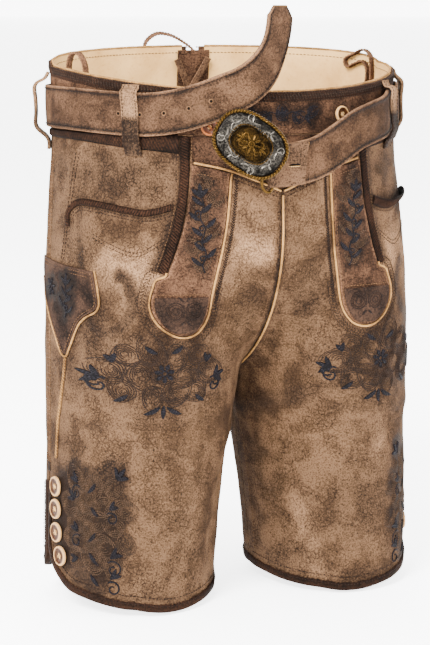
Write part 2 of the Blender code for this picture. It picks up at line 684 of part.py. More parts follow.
def build_flap():
    for leg, side in ((-1, "right"), (1, "left")):
        x, z = tongue_grid(TONGUE)
        wall(f"tongue_{side}", on_front(leg, x, z, REST + TONGUE_WALL), on_front(leg, x, z, REST),
             "worn_edge")
        edge = [(x[k, 0], z[k, 0]) for k in range(len(x))]
        edge += [(x[k, -1], z[k, -1]) for k in range(len(x) - 1, ROWS_BY_STRIP - 1, -1)]
        x, z = tongue_grid(TONGUE[-PATCH_ROWS:], PATCH_INSET)
        low = 2 * REST + TONGUE_WALL
        wall(f"tongue_patch_{side}", on_front(leg, x, z, low + PATCH_WALL),
             on_front(leg, x, z, low), "patch")
        edge = even(offset_line(even(np.array(edge), FINE_STEP), -PIPING - REST), PIPING_STEP)
        path = on_front(leg, edge[:, 0], edge[:, 1], PIPING + REST)
        out = normal(leg, 1, middle_share(edge[:, 0], edge[:, 1]), edge[:, 1])
        round_cord(f"tongue_piping_{side}", path, out, PIPING, "cream", sides=5)

        z = np.linspace(STRIP_TOP, STRIP_END, 18)
        x = column(STRIP_LINE, 1, z)
        path = on_front(leg, x, z, REST)
        out = normal(leg, 1, middle_share(x, z), z)
        side_way = unit(np.cross(tangents(path), out))
        flat_bar(f"plaited_strip_{side}", path, side_way, out, STRIP_HALF, 0.0, STRIP_RISE,
                 "dark")

        x = np.linspace(FLAP_CORNER_X - 0.0040, 1.5 * PIPING, 11)
        z = flap_top(x) - PIPING
        path = on_front(leg, x, z, PIPING + REST)
        out = normal(leg, 1, middle_share(x, z), z)
        round_cord(f"flap_piping_{side}", path, out, PIPING, "cream", sides=5)

    z = np.concatenate([np.linspace(FLY_TOP, -0.20, 9), np.linspace(-0.210, -0.292, 9), [FLY_END]])
    t = np.zeros_like(z)
    right = normal(-1, 1, t, z)
    out = unit(right * np.array([0.0, 1.0, 1.0]))
    spread = np.abs(np.sqrt(1 - right[:, 0] ** 2))
    lift = (PIPING + 2.5 * GAP) / np.maximum(spread, 0.4)
    path = shell(-1, 1, t, z) + out * lift[:, None]
    path[:, 0] = sway(t, z)
    round_cord("fly_piping", path, out, PIPING, "cream", sides=5)


# ---------------------------------------------------------------- pockets
def build_pockets():
    for leg, side in ((-1, "right"), (1, "left")):
        line = even(np.array(POCKET)[::-1], 0.008)
        run = np.linspace(0, 1, len(line))
        lift = LIP_LIFT * np.sin(pi * np.clip(run * 1.15, 0, 1)) ** 1.5 if leg > 0 else 0 * run
        low = on_side(leg, line[:, 0], line[:, 1], REST)
        up = on_side(leg, line[:, 0], line[:, 1], REST + FINDER)
        out = unit(up - low)
        way = unit(np.cross(tangents(low), out))
        way *= np.sign(way[len(way) // 3, 2])
        low_edge = low - way * POCKET_BINDING * (1.0 if leg < 0 else LIP_BROADER) / 2
        high_edge = low + way * POCKET_BINDING / 2 + out * lift[:, None]
        face = unit(np.cross(tangents(low), high_edge - low_edge))
        face *= np.sign((face * out).sum(1))[:, None]
        low_edge, high_edge = low_edge + out * BINDING_CLEAR, high_edge + out * BINDING_CLEAR
        thick = face * POCKET_WALL
        rings = [[a, b, b + n, a + n] for a, b, n in zip(low_edge, high_edge, thick)]
        sweep(f"pocket_binding_{side}", rings, "dark")

    rows = np.array(KNIFE)
    f = np.linspace(0, 1, 10)[None]
    forward = rows[:, 1:2] + (rows[:, 2:3] - rows[:, 1:2]) * f
    slant = KNIFE_SLANT * ease((rows[:, :1] - KNIFE_FLAT) / (KNIFE[0][0] - KNIFE_FLAT))
    z = rows[:, :1] - slant * (f - 0.7)
    wall("knife_pocket", on_side(-1, forward, z, REST + KNIFE_WALL),
         on_side(-1, forward, z, REST), "patch")
    edge = [(rows[k, 2], z[k, -1]) for k in range(len(rows))]
    edge += [(rows[k, 1], z[k, 0]) for k in range(len(rows) - 1, 2, -1)]
    edge = even(offset_line(even(np.array(edge), FINE_STEP), PIPING + REST), PIPING_STEP)
    path = on_side(-1, edge[:, 0], edge[:, 1], PIPING + REST)
    out = unit(on_side(-1, edge[:, 0], edge[:, 1], PIPING + REST + FINDER) - path)
    round_cord("knife_pocket_piping", path, out, PIPING, "cream", sides=5)
    line = even(np.array(KNIFE_STRIP), 0.009)
    path = on_side(-1, line[:, 0], line[:, 1], BINDING_CLEAR)
    out = unit(on_side(-1, line[:, 0], line[:, 1], BINDING_CLEAR + FINDER) - path)
    flat_bar("knife_strip", path, unit(np.cross(tangents(path), out)), out, KNIFE_STRIP_HALF, 0.0,
             KNIFE_STRIP_RISE, "cream")


# ---------------------------------------------------------------- leg hems and slits
def build_hems():
    for leg, side in ((-1, "right"), (1, "left")):
        for face, name in ((1, "front"), (-1, "back")):
            shares, heights, points = panel_grid(leg, face)
            slit = [i for i in range(PANEL_ROWS - 2, 0, -1)
                    if heights[i, -1] < SLIT_TOP - BINDING_BELOW]
            rows = [PANEL_ROWS - 1] * len(shares) + slit
            columns = list(range(len(shares))) + [len(shares) - 1] * len(slit)
            edge = points[rows, columns]
            edge[0] += (edge[1] - edge[0]) * INSEAM_STOP
            out = normal(leg, face, shares[columns], heights[rows, columns])
            along = tangents(edge)
            off = unit(np.cross(along, out))
            off *= -np.sign(off[8, 2])
            facing = unit(np.cross(off, along))
            out = facing * np.sign((facing * out).sum(1))[:, None]
            front, back, under = REST, -LEATHER - 2 * REST, GAP
            w, h = BINDING_WALL, BINDING_HEIGHT
            profile = ((front + w, -h), (front + w, under + w), (back - w, under + w),
                       (back - w, -h), (back, -h), (back, under), (front, under), (front, -h))
            rings = [[p + n * a + d * b for a, b in profile] for p, n, d in zip(edge, out, off)]
            sweep(f"hem_binding_{name}_{side}", rings, "dark")


# ---------------------------------------------------------------- buttons
BUTTON_PROFILE = (
    # share of the radius, height
    (0.86, 0.0000), (1.00, 0.0014), (0.93, 0.0036), (0.66, 0.0033),
)
BUTTON_DISH = 0.0024     # height of the dished middle


def button(name, seat, facing, radius=BUTTON_RADIUS, segments=14):
    """A turned disc with a raised rim and a dished middle, sitting on a point."""
    facing = unit(np.asarray(facing, float))
    side = unit(np.cross(facing, [0.0, 0.0, 1.0]))
    up = np.cross(side, facing)
    verts, faces = [], []
    for share, height in BUTTON_PROFILE:
        for k in range(segments):
            a = 2 * pi * k / segments
            verts.append(seat + facing * height + radius * share * (side * cos(a) + up * sin(a)))
    rings = len(BUTTON_PROFILE)
    for r in range(rings - 1):
        for k in range(segments):
            m = (k + 1) % segments
            faces.append((r * segments + k, r * segments + m, (r + 1) * segments + m,
                          (r + 1) * segments + k))
    faces.append(tuple(range(segments - 1, -1, -1)))
    verts.append(seat + facing * BUTTON_DISH)
    top = (rings - 1) * segments
    faces += [(top + k, top + (k + 1) % segments, len(verts) - 1) for k in range(segments)]
    return add(name, verts, faces, "horn")


def build_buttons():
    for leg, side in ((-1, "right"), (1, "left")):
        for k, (forward, z) in enumerate(LEG_BUTTONS, 1):
            seat = on_side(leg, forward, z, REST)
            facing = on_side(leg, forward, z, REST + FINDER) - seat
            button(f"slit_button_{side}_{k}", seat, facing)
    for leg, side, x, z in FLAP_BUTTONS:
        u = middle_share(x, z)
        seat = around(leg, u, z, REST)
        button(f"flap_button_{side}", seat, around(leg, u, z, REST + FINDER) - seat,
               FLAP_BUTTON_RADIUS)


# ---------------------------------------------------------------- belt
BELT_CLEAR = 0.0022      # between the waistband and the belt
BELT_BACK_CLEAR = 0.0038 # and where it passes over the back lacing
# The free end, which stands up in front: its middle line and the direction of its width.
FREE_END = (
    # x, y, z, across_x, across_y, across_z
    (-0.0865, -0.1105, -0.0335, 0.14, 0.05, -0.99), (-0.0610, -0.1195, -0.0235, 0.30, 0.10, -0.95),
    (-0.0415, -0.1290, -0.0135, 0.42, 0.22, -0.88),
    (-0.0260, -0.1345, 0.0020, 0.62, 0.38, -0.70),
    (-0.0170, -0.1355, 0.0190, 0.74, 0.50, -0.45),
    (-0.0120, -0.1340, 0.0350, 0.80, 0.52, -0.28),
    (-0.0098, -0.1325, 0.0480, 0.82, 0.52, -0.16),
    (-0.0100, -0.1318, 0.0570, 0.83, 0.52, -0.10),
)
# The part that carries the buckle and hangs a little low.
BUCKLE_END = (
    # x, y, z
    (0.1120, -0.1010, -0.0480), (0.0900, -0.1175, -0.0520), (0.0690, -0.1290, -0.0580),
    (0.0475, -0.1370, -0.0690), (0.0260, -0.1430, -0.0790), (0.0060, -0.1475, -0.0838),
    (-0.0100, -0.1500, -0.0855), (-0.0235, -0.1512, -0.0858),
)
BELT_STEP = 0.010        # between the rings of its buckle end
POINT_SHARE = 0.55       # its free end narrows to this share
FOLD_THICK = 0.0024      # the belt's end, skived thinner, turned over the bail to the front
FOLD_MARGIN = 0.0006     # the turned end is narrower than the belt on both sides
FOLD_RISE = 0.0003       # it lifts this much more at each ring away from the bail
FOLD_SKEW = 0.30         # slant of its raw edge
BAIL_RADIUS = 0.0015


def belt_drop(leg, u):
    """How far the loose belt sinks below its place at the back."""
    return (0.006 if leg > 0 else 0.004) * ease((0.9 - u) / 0.45)


def belt_clear(u):
    return BELT_CLEAR + (BELT_BACK_CLEAR - BELT_CLEAR) * ease((u - 1.5) / 0.3)


def carried(vectors):
    """The same directions with signs that never flip from one to the next."""
    vectors = np.array(vectors)
    for k in range(1, len(vectors)):
        if np.dot(vectors[k], vectors[k - 1]) < 0:
            vectors[k] = -vectors[k]
    return vectors


def belt_rings():
    """Rings of the belt's section from its buckle end, round the back, to its free end."""
    front, back = FRONT_SHARES[6:-2], 2 - np.array(BACK_SHARES[-3:0:-1])
    path = [tuple(p) for p in even(np.array(BUCKLE_END)[::-1], BELT_STEP)]
    width_way = [(0.10, 0.05, -0.99)] * len(path)
    for leg, line in ((1, [*front[2:], 1.0, *back, 2.0]), (-1, [*back[::-1], 1.0, *front[::-1]])):
        for u in line:
            out = belt_clear(u) + BELT_THICK / 2
            high = BELT_TOP - belt_drop(leg, u)
            up, down = around(leg, u, high, out), around(leg, u, high - BELT_WIDTH, out)
            path.append(tuple((up + down) / 2))
            width_way.append(tuple(down - up))
    path += [row[:3] for row in FREE_END]
    width_way += [row[3:] for row in FREE_END]
    path = np.array(path, float)
    along = tangents(path)
    out = carried(unit(np.cross(along, unit(np.array(width_way, float)))))
    if out[len(out) // 2] @ path[len(out) // 2] < 0:
        out = -out
    width_way = carried(unit(np.cross(out, along)))
    if width_way[0, 2] > 0:
        width_way = -width_way
    half = np.full(len(path), BELT_WIDTH / 2)
    half[-1] *= POINT_SHARE
    rings = [[p - w * h - n * BELT_THICK / 2, p + w * h - n * BELT_THICK / 2,
              p + w * h + n * BELT_THICK / 2, p - w * h + n * BELT_THICK / 2]
             for p, w, n, h in zip(path, width_way, out, half)]
    return rings, path, out, width_way


def build_belt():
    rings, path, out, width_way = belt_rings()
    sweep("belt", rings, "suede")

    along = unit(path[0] - path[1])
    bar = path[0] + along * (GAP + BAIL_RADIUS)
    reach = BELT_THICK / 2 + REST + FOLD_THICK / 2
    turn = pi * np.linspace(0.2, 0.8, 4)
    middle = [path[k] + out[k] * (reach + FOLD_RISE * k) for k in (3, 2, 1, 0)]
    middle += [bar + (along * sin(a) + out[0] * cos(a)) * reach for a in turn]
    middle += [path[k] - out[k] * reach for k in (0, 1)]
    facing = [out[k] for k in (3, 2, 1, 0)]
    facing += [along * sin(a) + out[0] * cos(a) for a in turn] + [-out[0], -out[1]]
    wide = [width_way[k] for k in (3, 2, 1, 0)] + [width_way[0]] * 5 + [width_way[1]]
    wide[0] = wide[0] + along * FOLD_SKEW
    flat_bar("belt_turned_end", middle, wide, facing, BELT_WIDTH / 2 - FOLD_MARGIN,
             -FOLD_THICK / 2, FOLD_THICK / 2, "suede")
    return bar, width_way[0]


def oval(count, long_half, short_half, power=2.5):
    """Points round a rounded oval, as pairs of shares along its two axes."""
    a = 2 * pi * np.arange(count) / count
    x = np.sign(np.cos(a)) * np.abs(np.cos(a)) ** (2 / power)
    y = np.sign(np.sin(a)) * np.abs(np.sin(a)) ** (2 / power)
    return np.stack([x * long_half, y * short_half], 1)


BUCKLE_AT = (-0.0475, -0.1520, -0.0658)
BUCKLE_LONG = (0.80, -0.18, -0.57)       # its long axis runs down towards the wearer's left
BUCKLE_FACING = (-0.28, -0.95, 0.10)
BUCKLE_HALF = (0.0345, 0.0255)
RIM_RADIUS = 0.0016
FIELD_BACK = 0.0012      # the plate's back lies this far behind its middle
# The two plates, ring by ring from the back to the front.
FIELD_LEVELS = (
    # share of the full size, height
    (0.93, -FIELD_BACK), (0.93, 0.0004), (0.80, 0.0018), (0.56, 0.0028),
)
BOSS_LEVELS = (
    # share of the full size, height
    (0.535, 0.0031), (0.55, 0.0042), (0.48, 0.0056), (0.28, 0.0062),
)
# The wire of the bail, which hangs the plate on the belt. It is straight inside the fold, and its
# two arms bend out of it to the plate's back.
BAIL_STRAIGHT = (-0.0180, -0.0120, -0.0060, 0.0, 0.0060, 0.0120, 0.0180)
BAIL_BEND = (
    # along the fold, away from it
    (0.0205, 0.0), (0.0235, 0.0015), (0.0242, 0.0050), (0.0215, 0.0085),
)
BAIL_ENDS = ((0.0050, 0.0050), (0.0235, -0.0155))    # along the plate's long and short axis


def build_buckle(bar, bar_way):
    centre = np.array(BUCKLE_AT)
    facing = unit(np.array(BUCKLE_FACING))
    long_way = unit(np.array(BUCKLE_LONG) - facing * np.dot(BUCKLE_LONG, facing))
    short_way = np.cross(facing, long_way)

    def place(flat, height):
        return centre + flat[:, :1] * long_way + flat[:, 1:] * short_way + facing * height

    def disc(name, levels, finish, count):
        """A plate through ovals given as (share of the full size, height), closed at both ends."""
        rings = [place(oval(count, BUCKLE_HALF[0] * s, BUCKLE_HALF[1] * s), h) for s, h in levels]
        return sweep(name, rings, finish)

    disc("buckle_field", FIELD_LEVELS, "silver", 32)
    disc("buckle_boss", BOSS_LEVELS, "brass", 28)
    middle = place(oval(32, BUCKLE_HALF[0] * 0.995, BUCKLE_HALF[1] * 0.995), 0.0002)
    along = unit(np.roll(middle, -1, 0) - np.roll(middle, 1, 0))
    side = unit(np.cross(along, facing))
    angles = 2 * pi * (np.arange(5) + 0.5) / 5
    rings = [[p + RIM_RADIUS * (s * cos(a) + facing * sin(a)) for a in angles]
             for p, s in zip(middle, side)]
    sweep("buckle_rim", rings, "brass", closed=True)

    under = FIELD_BACK + GAP + BAIL_RADIUS
    top, foot = (centre + a * long_way + b * short_way - facing * under for a, b in BAIL_ENDS)
    away = unit(np.cross(bar_way, np.cross((-1.0, 0.0, 0.0), bar_way)))
    upper = [bar - bar_way * f + away * g for f, g in BAIL_BEND[::-1]]
    lower = [bar + bar_way * f + away * g for f, g in BAIL_BEND]
    straight = [bar + bar_way * f for f in BAIL_STRAIGHT]
    path = even([top, *upper, *straight, *lower, foot], FINE_STEP)
    along = tangents(path)
    out = unit(np.cross(along, np.cross(facing, along)))
    round_cord("buckle_bail", path, out, BAIL_RADIUS, "brass")


# ---------------------------------------------------------------- loops
BELT_LOOPS = (
    # name, leg, place round the hips, how far the middle stands off the belt
    ("front_right", -1, 0.535, 0.0008), ("front_left", 1, 0.535, 0.0035),
    ("side_right", -1, 1.120, 0.0075), ("side_left", 1, 0.880, 0.0040),
    ("back_right", -1, 1.620, 0.0008), ("back_left", 1, 1.620, 0.0008),
)


LOOP_WALL = 0.0017
LOOP_FOOT = -0.0795      # lowest point of the belt loops
# The hanging loops stand edge-on against the lining, points as place round the hips and height.
HANG_HALF = 0.0034
HANG_WALL = 0.0014
HANG_RIGHT = (
    # place, height
    (0.895, -0.0220), (0.895, -0.0100), (0.887, 0.0030), (0.860, 0.0120), (0.815, 0.0130),
    (0.780, 0.0040), (0.772, -0.0100), (0.770, -0.0220),
)
HANG_LEFT = (
    # place, height
    (1.030, -0.0220), (1.035, -0.0060), (1.070, 0.0070), (1.150, 0.0120), (1.240, 0.0080),
    (1.305, 0.0015), (1.290, -0.0050), (1.230, -0.0020), (1.160, 0.0005), (1.110, -0.0060),
    (1.100, -0.0220),
)
HANG_BACK = (
    # x, y, z
    (-0.0520, 0.1121, -0.0130), (-0.0515, 0.1126, 0.0060), (-0.0480, 0.1126, 0.0210),
    (-0.0370, 0.1131, 0.0285), (-0.0230, 0.1136, 0.0275), (-0.0080, 0.1141, 0.0205),
    (0.0060, 0.1136, 0.0090), (0.0130, 0.1136, -0.0100),
)
HANG_BACK_HALF = 0.0036
HANG_BACK_BROAD = (0.10, 0.90, 0.30)


def build_belt_loops():
    for name, leg, u, stand in BELT_LOOPS:
        face = float(belt_clear(u)) + BELT_THICK + REST + stand
        top = BELT_TOP - float(belt_drop(leg, u))
        low = top - BELT_WIDTH
        start = min(float(waist_top(u)) - 0.0020, top + 0.0110)
        on_band = 2 * REST + THIN
        band_edge = float(seam_band_low(u)) - 2 * REST
        rows = ((start, REST), (start * 0.4 + top * 0.6, 0.0016 + stand * 0.3),
                (top + 0.0006, face), (top - 0.0120, face), (top - 0.0280, face),
                (low - 0.0006, face), (low - 0.0040, 0.0016 + (face + on_band) / 2),
                (band_edge, on_band), (band_edge - 0.0035, REST), (LOOP_FOOT, REST))
        z, out = (np.array(column) for column in zip(*rows))
        path = around(leg, np.full_like(z, u), z, out)
        outward = unit(around(leg, np.full_like(z, u), z, out + FINDER) - path)
        sideways = unit(np.cross([0.0, 0.0, 1.0], outward.mean(0)))
        sideways = np.repeat(sideways[None], len(z), 0)
        facing = unit(np.cross(tangents(path), sideways))
        facing *= np.sign((facing * outward).sum(1))[:, None]
        flat_bar(f"belt_loop_{name}", path, sideways, facing, LOOP_WIDTH / 2, 0.0, LOOP_WALL,
                 "suede")


def hanger(name, points, broad, half):
    """A narrow strip of leather through some points, its width along a given direction."""
    path = even(np.array(points), FINE_STEP)
    along = tangents(path)
    face = unit(np.cross(along, unit(np.array(broad, float))))
    flat_bar(name, path, unit(np.cross(face, along)), face, half, -HANG_WALL / 2, HANG_WALL / 2,
             "suede")


def build_hanging_loops():
    inside = -(LEATHER + REST + LINING + REST + HANG_HALF)
    for name, leg, rows in (("right", -1, HANG_RIGHT), ("left", 1, HANG_LEFT)):
        points = [around(leg, u, z, inside) for u, z in rows]
        middle = np.mean([u for u, _ in rows])
        inward = around(leg, middle, 0.0, -1.0) - around(leg, middle, 0.0)
        hanger(f"hanging_loop_{name}", points, inward, HANG_HALF)
    hanger("hanging_loop_back", HANG_BACK, HANG_BACK_BROAD, HANG_BACK_HALF)


def main():
    for thing in list(bpy.data.objects):
        bpy.data.objects.remove(thing, do_unlink=True)
    build_panels()
    build_waist()
    build_flap()
    build_pockets()
    build_hems()
    build_buttons()
    bar, bar_way = build_belt()
    build_buckle(bar, bar_way)
    build_belt_loops()
    build_hanging_loops()


main()
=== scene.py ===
"""Leather shorts with a drop flap and their own belt: surfaces, sewing, trimmings and metalwork.

Metres, +Z up. The front looks towards -Y and the wearer's right is at -X. The middle of the waist is
the origin. On a panel, t runs from the centre seam or inseam (0) to the side seam (1).
"""
from math import cos, pi, radians, sin

import bmesh
import bpy
import numpy as np
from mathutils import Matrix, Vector


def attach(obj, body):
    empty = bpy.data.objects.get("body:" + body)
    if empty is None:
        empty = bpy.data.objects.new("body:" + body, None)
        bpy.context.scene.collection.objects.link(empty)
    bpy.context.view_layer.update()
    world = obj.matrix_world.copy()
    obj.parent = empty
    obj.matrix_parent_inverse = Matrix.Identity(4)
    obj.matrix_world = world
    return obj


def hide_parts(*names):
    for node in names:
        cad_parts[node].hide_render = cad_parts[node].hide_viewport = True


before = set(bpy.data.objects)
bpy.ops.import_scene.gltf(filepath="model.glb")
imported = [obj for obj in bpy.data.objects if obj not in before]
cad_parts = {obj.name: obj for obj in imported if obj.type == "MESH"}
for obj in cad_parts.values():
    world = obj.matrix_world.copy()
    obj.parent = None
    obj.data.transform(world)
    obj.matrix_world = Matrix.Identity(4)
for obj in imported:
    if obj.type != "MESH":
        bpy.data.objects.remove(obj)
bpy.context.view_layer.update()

# ---------------- sizes of the cut
LEATHER = 0.0020         # wall of the panels and the waistband
THIN = 0.0014            # wall of the pieces sewn on top
TONGUE_WALL = 0.0016
PATCH_WALL = 0.0012
KNIFE_WALL = 0.0018
LINING = 0.0012
GAP = 0.0003             # between pieces at a seam
REST = 0.0005            # under what lies on a panel
UNDER = 0.0011           # between the flap and the underlap behind it
PANEL_WIDTH = 0.27       # rough width of a panel round the leg
CROTCH = -0.300
FORK = -0.140            # where the centre seams start to curve under
BAND_BOTTOM = -0.060
BAND_DIP = 0.021
BAND_RISE = 0.016
UNDERLAP_BOTTOM = -0.145
FLAP_STEP = (0.317, 0.337)   # shares between which the flap's top edge steps up
FLAP_CORNER_X = 0.087
BACK_SLIT_X = 0.007
HEM = -0.516
SLIT_TOP = -0.392
SLIT_GAP = 0.0050
CORNER_HEIGHT = 0.040
CORNER_SHARE = 0.17
BINDING_HEIGHT = 0.0065
BINDING_WALL = 0.0011
PIPING = 0.0011          # radius of the pipings
PIPING_PITCH = 0.0042
BELT_WIDTH = 0.040
BELT_THICK = 0.0034
BELT_TOP = -0.0175
BELT_CLEAR = 0.0022
BELT_BACK_CLEAR = 0.0038
LOOP_WIDTH = 0.017
BUTTON_RADIUS = 0.0098
STRIP_HALF = 0.0046
SIDES = ((-1, "right"), (1, "left"))

# One row per level of the hips: half width, and where the centre front, the centre back and the
# side seam lie from front (-) to back (+).
HIPS = (
    # height, half_width, front, back, side
    (0.030, 0.1765, -0.1100, 0.1070, 0.030),
    (0.000, 0.1755, -0.1130, 0.1090, 0.030),
    (-0.060, 0.1740, -0.1200, 0.1150, 0.030),
    (-0.120, 0.1775, -0.1280, 0.1250, 0.028),
    (-0.200, 0.1815, -0.1320, 0.1310, 0.025),
    (-0.300, 0.1840, -0.1300, 0.1280, 0.022),
)
# One row per level of a leg: the tube's middle, its half width, how far it reaches in front of and
# behind the side seam, and where the side seam lies.
LEGS = (
    # height, middle, half_width, forward, backward, side
    (-0.140, 0.0905, 0.0905, 0.150, 0.105, 0.026),
    (-0.300, 0.0920, 0.0920, 0.126, 0.092, 0.022),
    (-0.360, 0.0970, 0.0880, 0.113, 0.082, 0.021),
    (-0.440, 0.1035, 0.0840, 0.103, 0.072, 0.020),
    (-0.540, 0.1080, 0.0810, 0.099, 0.066, 0.020),
)
# How far the worn garment has turned: the shift of its middle towards the wearer's left.
SWAY = (
    # height, shift
    (0.000, 0.0000), (-0.060, -0.0015), (-0.120, -0.0050), (-0.200, -0.0045), (-0.270, -0.0010),
    (-0.300, 0.0000), (-0.400, 0.0020), (-0.540, 0.0030),
)
SWAY_SHARE = 0.45        # it fades out by this share of a panel
# Soft creases: which leg (-1 right, 1 left, 0 both), face (1 front, -1 back), the middle as a share
# of the panel's width and a height, the run across and down, the half width and how far it rises.
CREASES = (
    # leg, face, share, height, run_across, run_down, half_width, rise
    (-1, 1, 0.22, -0.420, 0.020, 0.150, 0.013, 0.0032),
    (-1, 1, 0.10, -0.345, 0.120, 0.070, 0.010, -0.0030),
    (1, 1, 0.12, -0.330, 0.130, -0.050, 0.010, -0.0028),
    (1, 1, 0.30, -0.470, 0.030, 0.110, 0.012, 0.0028),
    (0, 1, 0.60, -0.330, 0.160, 0.012, 0.010, -0.0018),
    (-1, 1, 0.60, -0.500, 0.004, 0.050, 0.007, 0.0022),
    (0, -1, 0.20, -0.285, 0.130, -0.060, 0.012, -0.0040),
    (0, -1, 0.30, -0.330, 0.160, -0.040, 0.012, -0.0032),
    (0, -1, 0.45, -0.200, 0.200, 0.050, 0.022, 0.0030),
    (0, -1, 0.60, -0.430, 0.030, 0.140, 0.014, 0.0030),
)
# Front hem: how far the edge lies above HEM, over the panel from the inseam to the slit.
FRONT_HEM = (
    # share, rise
    (0.00, 0.0120), (0.15, 0.0070), (0.30, 0.0030), (0.45, 0.0000), (0.60, 0.0040),
    (0.73, 0.0090), (0.85, 0.0150), (1.00, 0.0240),
)
BACK_HEM = (
    # share, rise
    (0.00, 0.0120), (0.30, 0.0160), (0.60, 0.0190), (0.85, 0.0220), (1.00, 0.0260),
)
# The flap's top edge, from the centre front to its corner.
FLAP_TOP = (
    # x, height
    (0.000, -0.1110), (0.022, -0.1020), (0.050, -0.0915), (0.087, -0.0830),
)
# The dark band over the waist seam, place round the hips from the centre front to the back.
# Its lower edge follows the dark zone under the belt, so the band's near-black also stands partly for
# the belt's shadow: painted shadow.
SEAM_BAND_TOP = -0.0590
SEAM_BAND_LOW = (
    # place, height of its lower edge
    (0.36, -0.0770), (0.60, -0.0715), (0.80, -0.0675), (1.00, -0.0665), (2.00, -0.0665),
)
# The dark plaited strip down the outer edge of each tongue.
STRIP_LINE = (
    # height, x
    (-0.189, 0.1138), (-0.166, 0.1055), (-0.150, 0.1005), (-0.115, 0.0935),
    (-0.080, 0.0905), (-0.0585, 0.0900),
)
STRIP_TOP, STRIP_END = -0.0612, -0.187
# A tongue's two edges from its top to the round end; beside the strip it ends at the strip.
TONGUE = (
    # height, inner, outer
    (-0.0860, 0.0510, 0.0852), (-0.1000, 0.0519, 0.0862), (-0.1180, 0.0530, 0.0885),
    (-0.1360, 0.0545, 0.0920), (-0.1540, 0.0568, 0.0968), (-0.1700, 0.0592, 0.1018),
    (-0.1860, 0.0625, 0.1076), (-0.1895, 0.0632, 0.1080), (-0.1930, 0.0640, 0.1155),
    (-0.2010, 0.0655, 0.1195), (-0.2090, 0.0670, 0.1219),
    (-0.2180, 0.0685, 0.1226), (-0.2280, 0.0715, 0.1196), (-0.2360, 0.0760, 0.1136),
    (-0.2420, 0.0820, 0.1052), (-0.2450, 0.0880, 0.0975),
)
TONGUE_TOP_DROP = 0.0034 # below the flap's top edge
PATCH_ROWS = 6           # the end patch covers the tongue's last rows
PATCH_INSET = 0.0028
PATCH_MIDDLE = (0.0935, -0.2215)
PATCH_LEAVES = (
    # start, heading, length
    ((0.0940, -0.2130), 0.7, 0.0075), ((0.0930, -0.2130), 2.45, 0.0075),
    ((0.0940, -0.2305), -0.8, 0.0070), ((0.0930, -0.2305), -2.35, 0.0070),
)
# Front pocket mouth: distance forward of the side seam, and height.
POCKET = (
    # forward, height
    (0.040, -0.149), (0.0385, -0.137), (0.046, -0.1285), (0.0585, -0.1245), (0.073, -0.1250),
    (0.0915, -0.1270), (0.110, -0.1295), (0.1285, -0.1315), (0.1450, -0.1285), (0.1550, -0.1250),
)
POCKET_BINDING = 0.0062
LIP_LIFT = 0.0075        # the left pocket's mouth stands this far off
# Knife pocket on the right leg: its back and front edge, forward of the side seam.
KNIFE = (
    # height, back_edge, front_edge
    (-0.1860, -0.0160, 0.0790), (-0.1960, -0.0160, 0.0820), (-0.2080, -0.0135, 0.0848),
    (-0.2190, -0.0090, 0.0858), (-0.2240, -0.0050, 0.0828), (-0.2300, 0.0000, 0.0710),
    (-0.2370, 0.0055, 0.0615), (-0.2460, 0.0130, 0.0545), (-0.2570, 0.0225, 0.0482),
    (-0.2705, 0.0335, 0.0405),
)
KNIFE_SLANT = 0.006      # its top edge drops this much from back to front
KNIFE_STRIP = (
    # forward, height
    (0.0375, -0.2745), (0.0330, -0.2950), (0.0275, -0.3200), (0.0220, -0.3450), (0.0175, -0.3750),
)
LEG_BUTTONS = (
    # forward, height
    (0.0205, -0.4030), (0.0215, -0.4250), (0.0230, -0.4480), (0.0300, -0.4700),
)
# The flap's buttons sit on the waistband, half under the belt.
FLAP_BUTTONS = (
    # leg, name, x, height
    (-1, "right", 0.0685, -0.0525), (1, "left", 0.0640, -0.0435),
)
FLAP_BUTTON_RADIUS = 0.0080


# ---------------- the garment's surface
def smooth_curve(x, y, at):
    """A smooth curve through the values y at places x, read at other places."""
    slope = np.gradient(y, x, axis=0)
    i = np.clip(np.searchsorted(x, at) - 1, 0, len(x) - 2)
    w, s = x[i + 1] - x[i], (at - x[i]) / (x[i + 1] - x[i])
    if y.ndim > 1:
        w, s = w[:, None], s[:, None]
    return ((1 + 2 * s) * (1 - s) ** 2 * y[i] + s * (1 - s) ** 2 * w * slope[i]
            + s * s * (3 - 2 * s) * y[i + 1] + s * s * (s - 1) * w * slope[i + 1])


def column(table, index, at):
    """A smooth curve through one column of a table, read at places of its first column."""
    rows = np.array(sorted(table))
    x = rows[:, 0]
    return smooth_curve(x, rows[:, index], np.clip(np.asarray(at, float), x[0], x[-1]))


def ease(x):
    x = np.clip(x, 0.0, 1.0)
    return x * x * (3 - 2 * x)


def smooth_shell(face, t, z):
    """The leather's outer face on the wearer's right, without creases. t runs from the centre
    seam or inseam (0) to the side seam (1). face is 1 for the front and -1 for the back."""
    side_y = column(HIPS, 4, z)
    centre_y = column(HIPS, 2 if face > 0 else 3, z)
    hips_x = -column(HIPS, 1, z) * np.sin(t * pi / 2)
    hips_y = side_y + (centre_y - side_y) * np.cos(t * pi / 2)
    reach = column(LEGS, 3 if face > 0 else 4, z)
    leg_x = -column(LEGS, 1, z) + column(LEGS, 2, z) * np.cos(t * pi)
    leg_y = column(LEGS, 5, z) - face * reach * np.sin(t * pi)
    down = np.clip((FORK - z) / (FORK - CROTCH), 0.0, 1.0)
    centre = 1 - (1 - down ** 2) ** (2 / 3)
    outer = ease((FORK + 0.05 - z) / (FORK + 0.05 - CROTCH))
    near = (1 - t) ** 2
    w = centre * near + outer * (1 - near)
    return np.stack([(1 - w) * hips_x + w * leg_x, (1 - w) * hips_y + w * leg_y, z], -1)


def ripple(leg, face, u, v):
    """Small unevenness of worn leather, from a few crossing waves."""
    return 0.00016 * (sin(leg + 2 * face) + np.sin(118 * u + 61 * v + leg) + np.sin(87 * v - 140 * u)
                      + np.sin(201 * u + 33 * v + 2.1 * face) + np.sin(155 * v + 71 * u - leg))


